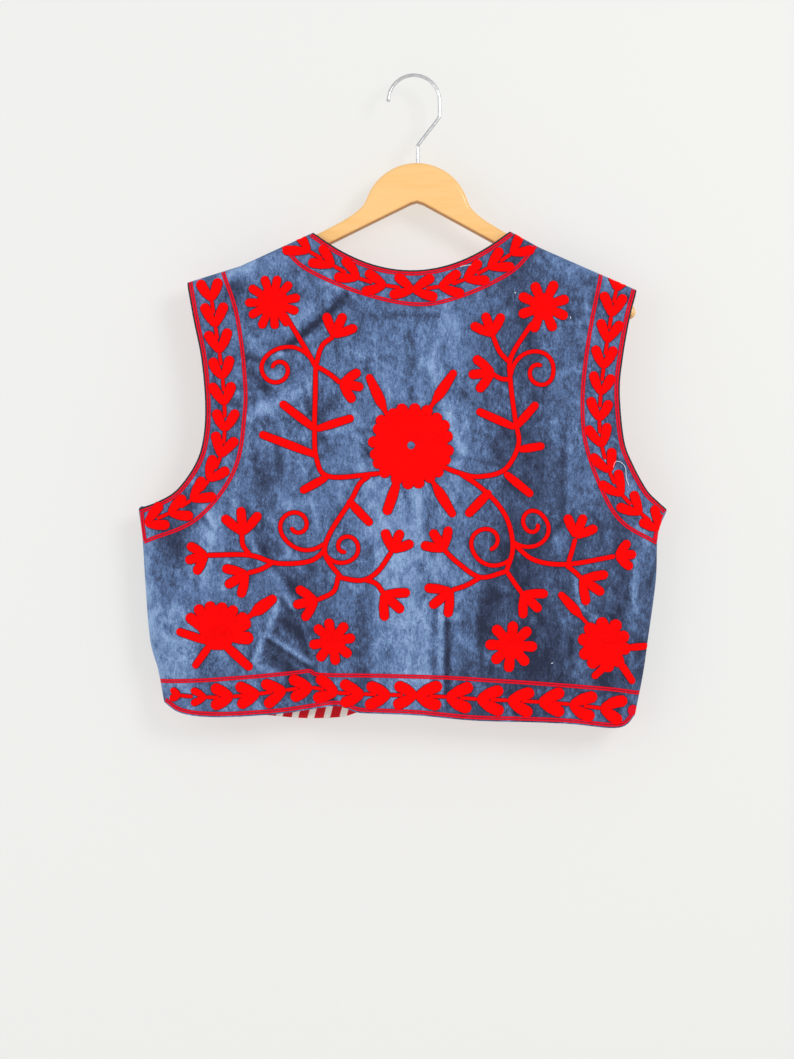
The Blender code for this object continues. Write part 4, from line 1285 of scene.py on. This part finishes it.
# colour of the ring beside each thread: pressed pile, darkened further as painted shadow
PRESSED_PILE_AND_SHADOW = (0.016, 0.020, 0.045)
# Layers of noise in the velvet's tone, and its fine broken creases. A turn is in degrees.
Grain = namedtuple("Grain", "name scale detail upright turn roughness gain")
VELVET_GRAIN = (
    Grain("cloud", 30, 6.0, 0.7, 14, 0.66, 0.20),
    Grain("crush", 150, 5.0, 0.6, -22, 0.70, 0.66),
    Grain("brush", 480, 3.0, 0.45, 6, 0.65, 0.72),
    Grain("pile", 1100, 2.0, 0.6, 0, 0.5, 0.55),
)
Vein = namedtuple("Vein", "name scale turn gain")
VEINS = (Vein("rising", 58, 35, 0.18), Vein("falling", 74, -40, 0.16), Vein("dark", 66, 80, -0.11))
VEIN_WOBBLE, VEIN_SHARPNESS = 0.012, 22.0
NAP_AND_SHADE_GAIN, MIDDLE_TONE = 0.36, 0.452
# From the dark pile to the light one, by its tone.
VELVET_TONES = (
    (0.02, (0.020, 0.026, 0.054)), (0.30, (0.047, 0.070, 0.142)),
    (0.56, (0.104, 0.176, 0.346)), (0.92, (0.260, 0.385, 0.610)),
)
WOOD_TONES = ((0.30, (0.83, 0.440, 0.125)), (0.50, (0.87, 0.510, 0.185)), (0.75, (0.89, 0.565, 0.235)))
STRIPE_PITCH, WHITE_HALF, STRIPE_SHARPNESS, STRIPE_WOBBLE = 0.0157, 0.23, 22.0, 0.0012
LINK_LEAN = 2.2  # how far a link's sides lie behind its middle, in radians, which gives it its V
LINK_SHADE, RIM_SHADE = 0.16, 0.75  # painted shade between links and along a motif's rim
GAP_SHADE, GAP_SHARPNESS = 0.22, 8.0  # painted shade between rows


class Shader:
    """A Principled material and short ways to add nodes to it. An input i0 is one that is given by number."""

    def __init__(self, name, **values):
        self.material = bpy.data.materials.new(name)
        self.material.use_nodes = True
        self.tree = self.material.node_tree
        self.surface = self.tree.nodes["Principled BSDF"]
        for socket, value in values.items():
            self.surface.inputs[socket.replace("_", " ")].default_value = value

    def node(self, kind, settings=(), **inputs):
        made = self.tree.nodes.new(kind)
        for name, value in dict(settings).items():
            setattr(made, name, value)
        for name, value in inputs.items():
            socket = made.inputs[int(name[1:]) if name[1:].isdigit() else name.replace("_", " ")]
            if isinstance(value, bpy.types.NodeSocket):
                self.tree.links.new(value, socket)
            else:
                socket.default_value = value
        return made

    def math(self, operation, a, b=0.0, c=0.0, clamp=False):
        settings = {"operation": operation, "use_clamp": clamp}
        return self.node("ShaderNodeMath", settings, i0=a, i1=b, i2=c).outputs[0]

    def value(self, name):
        return self.node("ShaderNodeAttribute", {"attribute_name": name}).outputs["Fac"]

    def place(self, scale, turn=(0, 0, 0)):
        """Object coordinates, in metres, turned and then scaled."""
        spot = self.node("ShaderNodeTexCoord").outputs["Object"]
        turn = [math.radians(angle) for angle in turn]
        return self.node("ShaderNodeMapping", Vector=spot, Scale=scale, Rotation=turn).outputs["Vector"]

    def noise(self, scale, detail=3.0, stretch=(1, 1, 1), turn=(0, 0, 0), roughness=0.5):
        spot = self.place(stretch, turn)
        return self.node(
            "ShaderNodeTexNoise", Vector=spot, Scale=scale, Detail=detail, Roughness=roughness,
        ).outputs["Fac"]

    def veins(self, scale, turn):
        """Thin broken lines between crumpled patches of cloth."""
        spot = self.node("ShaderNodeVectorMath", {"operation": "MULTIPLY_ADD"})
        wobble = self.node("ShaderNodeTexNoise", Vector=self.place((1, 1, 1)), Scale=90.0, Detail=3.0)
        self.tree.links.new(wobble.outputs["Color"], spot.inputs[0])
        spot.inputs[1].default_value = (VEIN_WOBBLE,) * 3
        self.tree.links.new(self.place((1, 0.2, 0.5), (0, turn, 0)), spot.inputs[2])
        edges = {"feature": "DISTANCE_TO_EDGE"}
        cells = self.node("ShaderNodeTexVoronoi", edges, Vector=spot.outputs[0], Scale=float(scale))
        away = self.math("MULTIPLY", cells.outputs["Distance"], VEIN_SHARPNESS)
        thin = self.math("SUBTRACT", 1.0, away, clamp=True)
        patches = self.noise(24, 2.0, (1, 1, 1), (0, turn + 25, 0))
        return self.math("MULTIPLY", thin, self.math("MULTIPLY_ADD", patches, 6.0, -2.9, clamp=True))

    def ramp(self, factor, *stops):
        ramp = self.node("ShaderNodeValToRGB", Fac=factor)
        points = ramp.color_ramp.elements
        for _ in stops[2:]:
            points.new(0.5)
        for point, (place, colour) in zip(points, stops):
            point.position = place
            point.color = (*colour, 1)
        return ramp.outputs["Color"]

    def mix(self, factor, a, b):
        return self.node("ShaderNodeMix", {"data_type": "RGBA"}, i0=factor, i6=a, i7=b).outputs[2]

    def bump(self, height, distance, strength=1.0, before=None):
        made = self.node("ShaderNodeBump", Height=height, Distance=distance, Strength=strength)
        if before:
            self.tree.links.new(before, made.inputs["Normal"])
        return made.outputs["Normal"]

    def link(self, socket, output):
        self.tree.links.new(output, self.surface.inputs[socket])

    def shaded(self, colour, normal=None):
        self.link("Base Color", colour)
        if normal:
            self.link("Normal", normal)
        return self.material


def velvet_finish():
    """Crushed velvet: the tone from the mesh, which holds both the pile's lie and painted shade and
    highlight, broken by mottling, brush marks and fine creases.
    """
    shader = Shader(
        "blue velvet", Roughness=0.82, Specular_IOR_Level=0.12, Sheen_Weight=0.08, Sheen_Roughness=0.45,
    )
    shader.surface.inputs["Sheen Tint"].default_value = (0.55, 0.70, 1.0, 1)
    # the mesh's tone holds painted shade and highlight as well as the pile's lie
    tone = shader.math("MULTIPLY_ADD", shader.value("nap_and_painted_shade"), NAP_AND_SHADE_GAIN, MIDDLE_TONE)
    layers = {}
    for grain in VELVET_GRAIN:
        layer = shader.noise(
            grain.scale, grain.detail, (1, 1, grain.upright), (0, grain.turn, 0), grain.roughness,
        )
        layers[grain.name] = layer
        tone = shader.math("ADD", tone, shader.math("MULTIPLY_ADD", layer, grain.gain, -grain.gain / 2))
    for vein in VEINS:
        lines = shader.veins(vein.scale, vein.turn)
        tone = shader.math("ADD", tone, shader.math("MULTIPLY", lines, vein.gain))
    normal = shader.bump(layers["crush"], 0.0012, 0.6)
    normal = shader.bump(layers["pile"], 0.0004, 0.5, normal)
    return shader.shaded(shader.ramp(tone, *VELVET_TONES), normal)


def stripe_finish(name, lean):
    """Red and off-white stripes that lean by some degrees."""
    shader = Shader(name, Roughness=0.85, Specular_IOR_Level=0.2, Sheen_Weight=0.05)
    spot = shader.node("ShaderNodeSeparateXYZ", Vector=shader.place((1, 1, 1), (0, lean, 0))).outputs["X"]
    wobble = shader.math("MULTIPLY_ADD", shader.noise(40, 2.0), STRIPE_WOBBLE, -STRIPE_WOBBLE / 2)
    across = shader.math("FRACT", shader.math("DIVIDE", shader.math("ADD", spot, wobble), STRIPE_PITCH))
    away = shader.math("ABSOLUTE", shader.math("SUBTRACT", across, 0.5))
    edge = shader.math("SUBTRACT", away, WHITE_HALF)
    white = shader.math("MULTIPLY", edge, -STRIPE_SHARPNESS, clamp=True)
    thread = shader.noise(1500, 1.0, (1, 1, 0.2))
    red = shader.mix(thread, (0.48, 0.004, 0.010, 1), (0.76, 0.012, 0.024, 1))
    pale = shader.mix(thread, (0.74, 0.69, 0.64, 1), (0.98, 0.95, 0.91, 1))
    return shader.shaded(shader.mix(white, red, pale), shader.bump(thread, 0.0004, 0.4))


def thread_finish(name, light, dark, rim_width):
    """Chain stitch: links along each row, with painted shade between links, between rows and along a motif's
    rim, mixed towards the dark colour, and a ring of pressed blue pile with painted shadow beside the thread.
    """
    shader = Shader(name, Roughness=0.75, Specular_IOR_Level=0.06)
    inset, length = shader.value("thread_inset"), shader.value("thread_along")
    row = shader.math("FRACT", shader.math("DIVIDE", inset, ROW * MM))
    away = shader.math("ABSOLUTE", shader.math("MULTIPLY_ADD", row, 2.0, -1.0))
    turn = shader.math("MULTIPLY", away, LINK_LEAN)
    phase = shader.math("MULTIPLY_ADD", length, 2 * math.pi / (LINK * MM), turn)
    link = shader.math("MULTIPLY_ADD", shader.math("SINE", phase), 0.5, 0.5)
    ply = shader.noise(1400, 2.0)
    height = shader.math("ADD", shader.math("MULTIPLY", link, 0.7), shader.math("MULTIPLY", ply, 0.6))
    rim = shader.math("SUBTRACT", 1.0, shader.math("DIVIDE", inset, rim_width * MM), clamp=True)
    edge = shader.math("MULTIPLY", rim, RIM_SHADE)
    shade = shader.math("MULTIPLY_ADD", shader.math("SUBTRACT", 1.0, link), LINK_SHADE, edge)
    gap = shader.math("MULTIPLY", shader.math("POWER", away, GAP_SHARPNESS), GAP_SHADE)
    shade = shader.math("ADD", shade, gap, clamp=True)
    thread = shader.mix(shade, light, dark)
    # painted shadow: the ring beside the thread takes the dark pressed-pile colour
    colour = shader.mix(shader.math("LESS_THAN", inset, 0.0), thread, (*PRESSED_PILE_AND_SHADOW, 1))
    return shader.shaded(colour, shader.bump(height, 0.0005, 0.5))


def edge_shade_finish():
    # a near-black colour: painted shade on the velvet's turned edges
    shader = Shader("dark edge shade", Roughness=0.85, Specular_IOR_Level=0.1)
    weave = shader.noise(900, 2.0)
    colour = shader.ramp(weave, (0.3, (0.010, 0.012, 0.018)), (0.75, (0.050, 0.055, 0.070)))
    return shader.shaded(colour, shader.bump(weave, 0.0003, 0.5))


def lint_finish():
    shader = Shader("white lint", Roughness=0.9, Specular_IOR_Level=0.1)
    fibre = shader.noise(1800, 2.0)
    colour = shader.ramp(fibre, (0.2, (0.55, 0.62, 0.75)), (0.7, (0.92, 0.94, 0.97)))
    return shader.shaded(colour, shader.bump(fibre, 0.0003, 0.4))


def wood_finish():
    """Pale varnished wood, with painted shade: browner and darker on the faces that look down."""
    shader = Shader("varnished pale wood", Roughness=0.30, Coat_Weight=0.45, Coat_Roughness=0.14)
    fibre = shader.noise(60, 5.0, (0.5, 5.0, 5.0), (0, 4, 0), 0.6)
    broad = shader.noise(10, 3.0, (0.6, 3.0, 3.0), (0, 20, 0), 0.5)
    grain = shader.math("ADD", shader.math("MULTIPLY", fibre, 0.4), shader.math("MULTIPLY", broad, 0.6))
    colour = shader.ramp(grain, *WOOD_TONES)
    normal = shader.node("ShaderNodeNewGeometry").outputs["Normal"]
    facing = shader.node("ShaderNodeSeparateXYZ", Vector=normal)
    # painted shade: the more a face looks down, the more it takes the dark brown
    under = shader.math("MULTIPLY_ADD", facing.outputs["Z"], -2.6, -0.75, clamp=True)
    shade_brown = shader.mix(fibre, (0.30, 0.120, 0.030, 1), (0.52, 0.240, 0.070, 1))
    return shader.shaded(shader.mix(under, colour, shade_brown), shader.bump(fibre, 0.0003, 0.2))


def steel_finish():
    shader = Shader("plated steel", Metallic=1.0, Roughness=0.30)
    haze = shader.noise(300, 3.0)
    colour = shader.ramp(haze, (0.3, (0.52, 0.53, 0.54)), (0.7, (0.70, 0.71, 0.72)))
    return shader.shaded(colour, shader.bump(haze, 0.0002, 0.04))


# ---------------------------------------------------------------- stage, lights and camera

def stage_finish(name):
    """A matt surface that is seen from its front only, so that views from behind look through it."""
    dim = [part * (1 - STAGE_GLOW) for part in PALE]
    shader = Shader(
        name, Base_Color=(*dim, 1), Roughness=0.9, Specular_IOR_Level=0.1,
        Emission_Color=(*PALE, 1), Emission_Strength=STAGE_GLOW,
    )
    clear = shader.tree.nodes.new("ShaderNodeBsdfTransparent")
    mixed = shader.tree.nodes.new("ShaderNodeMixShader")
    behind = shader.tree.nodes.new("ShaderNodeNewGeometry")
    shader.tree.links.new(behind.outputs["Backfacing"], mixed.inputs[0])
    shader.tree.links.new(shader.surface.outputs[0], mixed.inputs[1])
    shader.tree.links.new(clear.outputs[0], mixed.inputs[2])
    shader.tree.links.new(mixed.outputs[0], shader.tree.nodes["Material Output"].inputs["Surface"])
    return shader.material


def backdrop(name, corners):
    """A flat part of the stage, which casts no shadow."""
    mesh = bpy.data.meshes.new(name)
    mesh.from_pydata(corners, [], [(0, 1, 2, 3)])
    mesh.materials.append(stage_finish(name))
    sheet = bpy.data.objects.new(name, mesh)
    sheet.visible_shadow = False
    bpy.context.scene.collection.objects.link(sheet)


def lit(light):
    """An area light that faces the middle of the vest."""
    lamp = bpy.data.lights.new(light.name, "AREA")
    lamp.energy = light.power
    lamp.size = light.size
    lamp.color = light.colour
    thing = bpy.data.objects.new(light.name, lamp)
    thing.location = light.place
    aim = np.array([VIEW_X, 0, -AIM_DROP]) - np.array(light.place)
    thing.rotation_euler = (
        math.atan2(math.hypot(aim[0], aim[1]), -aim[2]), 0, math.atan2(-aim[0], aim[1])
    )
    bpy.context.scene.collection.objects.link(thing)


def make_stage():
    far, floor = STAGE_SIZE / 2, -FLOOR_DROP
    backdrop("wall", [(-far, WALL_Y, floor), (far, WALL_Y, floor), (far, WALL_Y, far), (-far, WALL_Y, far)])
    backdrop("floor", [(-far, -far, floor), (far, -far, floor), (far, far, floor), (-far, far, floor)])
    for light in LIGHTS:
        lit(light)
    world = bpy.data.worlds.new("studio")
    world.use_nodes = True
    background = world.node_tree.nodes["Background"]
    background.inputs["Color"].default_value = SKY
    background.inputs["Strength"].default_value = SKY_STRENGTH
    bpy.context.scene.world = world


def make_camera():
    """Looks square at the wall from the place that the photograph was taken from."""
    lens = bpy.data.cameras.new("camera")
    lens.sensor_width = SENSOR
    lens.lens = SENSOR * VIEW_DISTANCE / PHOTO_HEIGHT
    camera = bpy.data.objects.new("camera", lens)
    camera.location = (VIEW_X, VIEW_PLANE - VIEW_DISTANCE, -VIEW_DROP)
    camera.rotation_euler = (math.pi / 2, 0, 0)
    bpy.context.scene.collection.objects.link(camera)
    bpy.context.scene.camera = camera
    bpy.context.scene.view_settings.view_transform = "Standard"


# ---------------------------------------------------------------- the whole

def main():
    velvet, cotton = velvet_finish(), stripe_finish("striped cotton inside", -14)
    red = thread_finish("red thread", (0.98, 0.0, 0.0, 1), (0.42, 0.0, 0.002, 1), 0.45)
    crimson = thread_finish("crimson thread", (0.84, 0.004, 0.018, 1), (0.45, 0.003, 0.018, 1), 0.2)
    # painted shade for the narrow strip along the velvet's turned edges
    dark = edge_shade_finish()

    grid = back_patch()
    outer = outer_face(grid, False)
    back = wall("back_cloth", outer, moved_in(outer, VELVET_WALL, False), grid, False,
                [velvet, cotton], "velvet", ["back_panel"])
    fronts, trims = {}, {}
    for side in FRONTS:
        grid = front_patch(side)
        outer = outer_face(grid, True)
        inner = moved_in(outer, VELVET_WALL, True)
        fronts[side] = wall(f"front_cloth_{side}", outer, inner, grid, True,
                            [velvet, cotton], "velvet", [f"front_panel_{side}"])
        lines, hearts = front_motifs(side)
        edge = shaded_edges(f"front_edge_shade_{side}", front_edges(side), True)
        trims[side] = [lines.piece(crimson), hearts.piece(red), edge.piece(dark)]
        if side == "left":
            inside = np.s_[TURN_STEPS // 2:-1, 1:-1]
            faces = [
                moved_in(outer, VELVET_WALL + SEAM_GAP + thick, True)[inside] for thick in (0, LINING_WALL)
            ]
            lining = wall("front_lining_cloth", *faces, grid[inside], True,
                          [stripe_finish("striped cotton", -14)], "lining", ["front_lining_left"])

    stitched = [back_lines().piece(crimson)]
    stitched += [motifs.piece(red) for motifs in back_motifs()]
    stitched.append(shaded_edges("back_edge_shade", back_edges()[:3], False).piece(dark))
    stitched.append(lint().piece(lint_finish()))

    hanger = make_hanger(wood_finish())
    make_hook(steel_finish())

    make_stage()
    make_camera()


main()
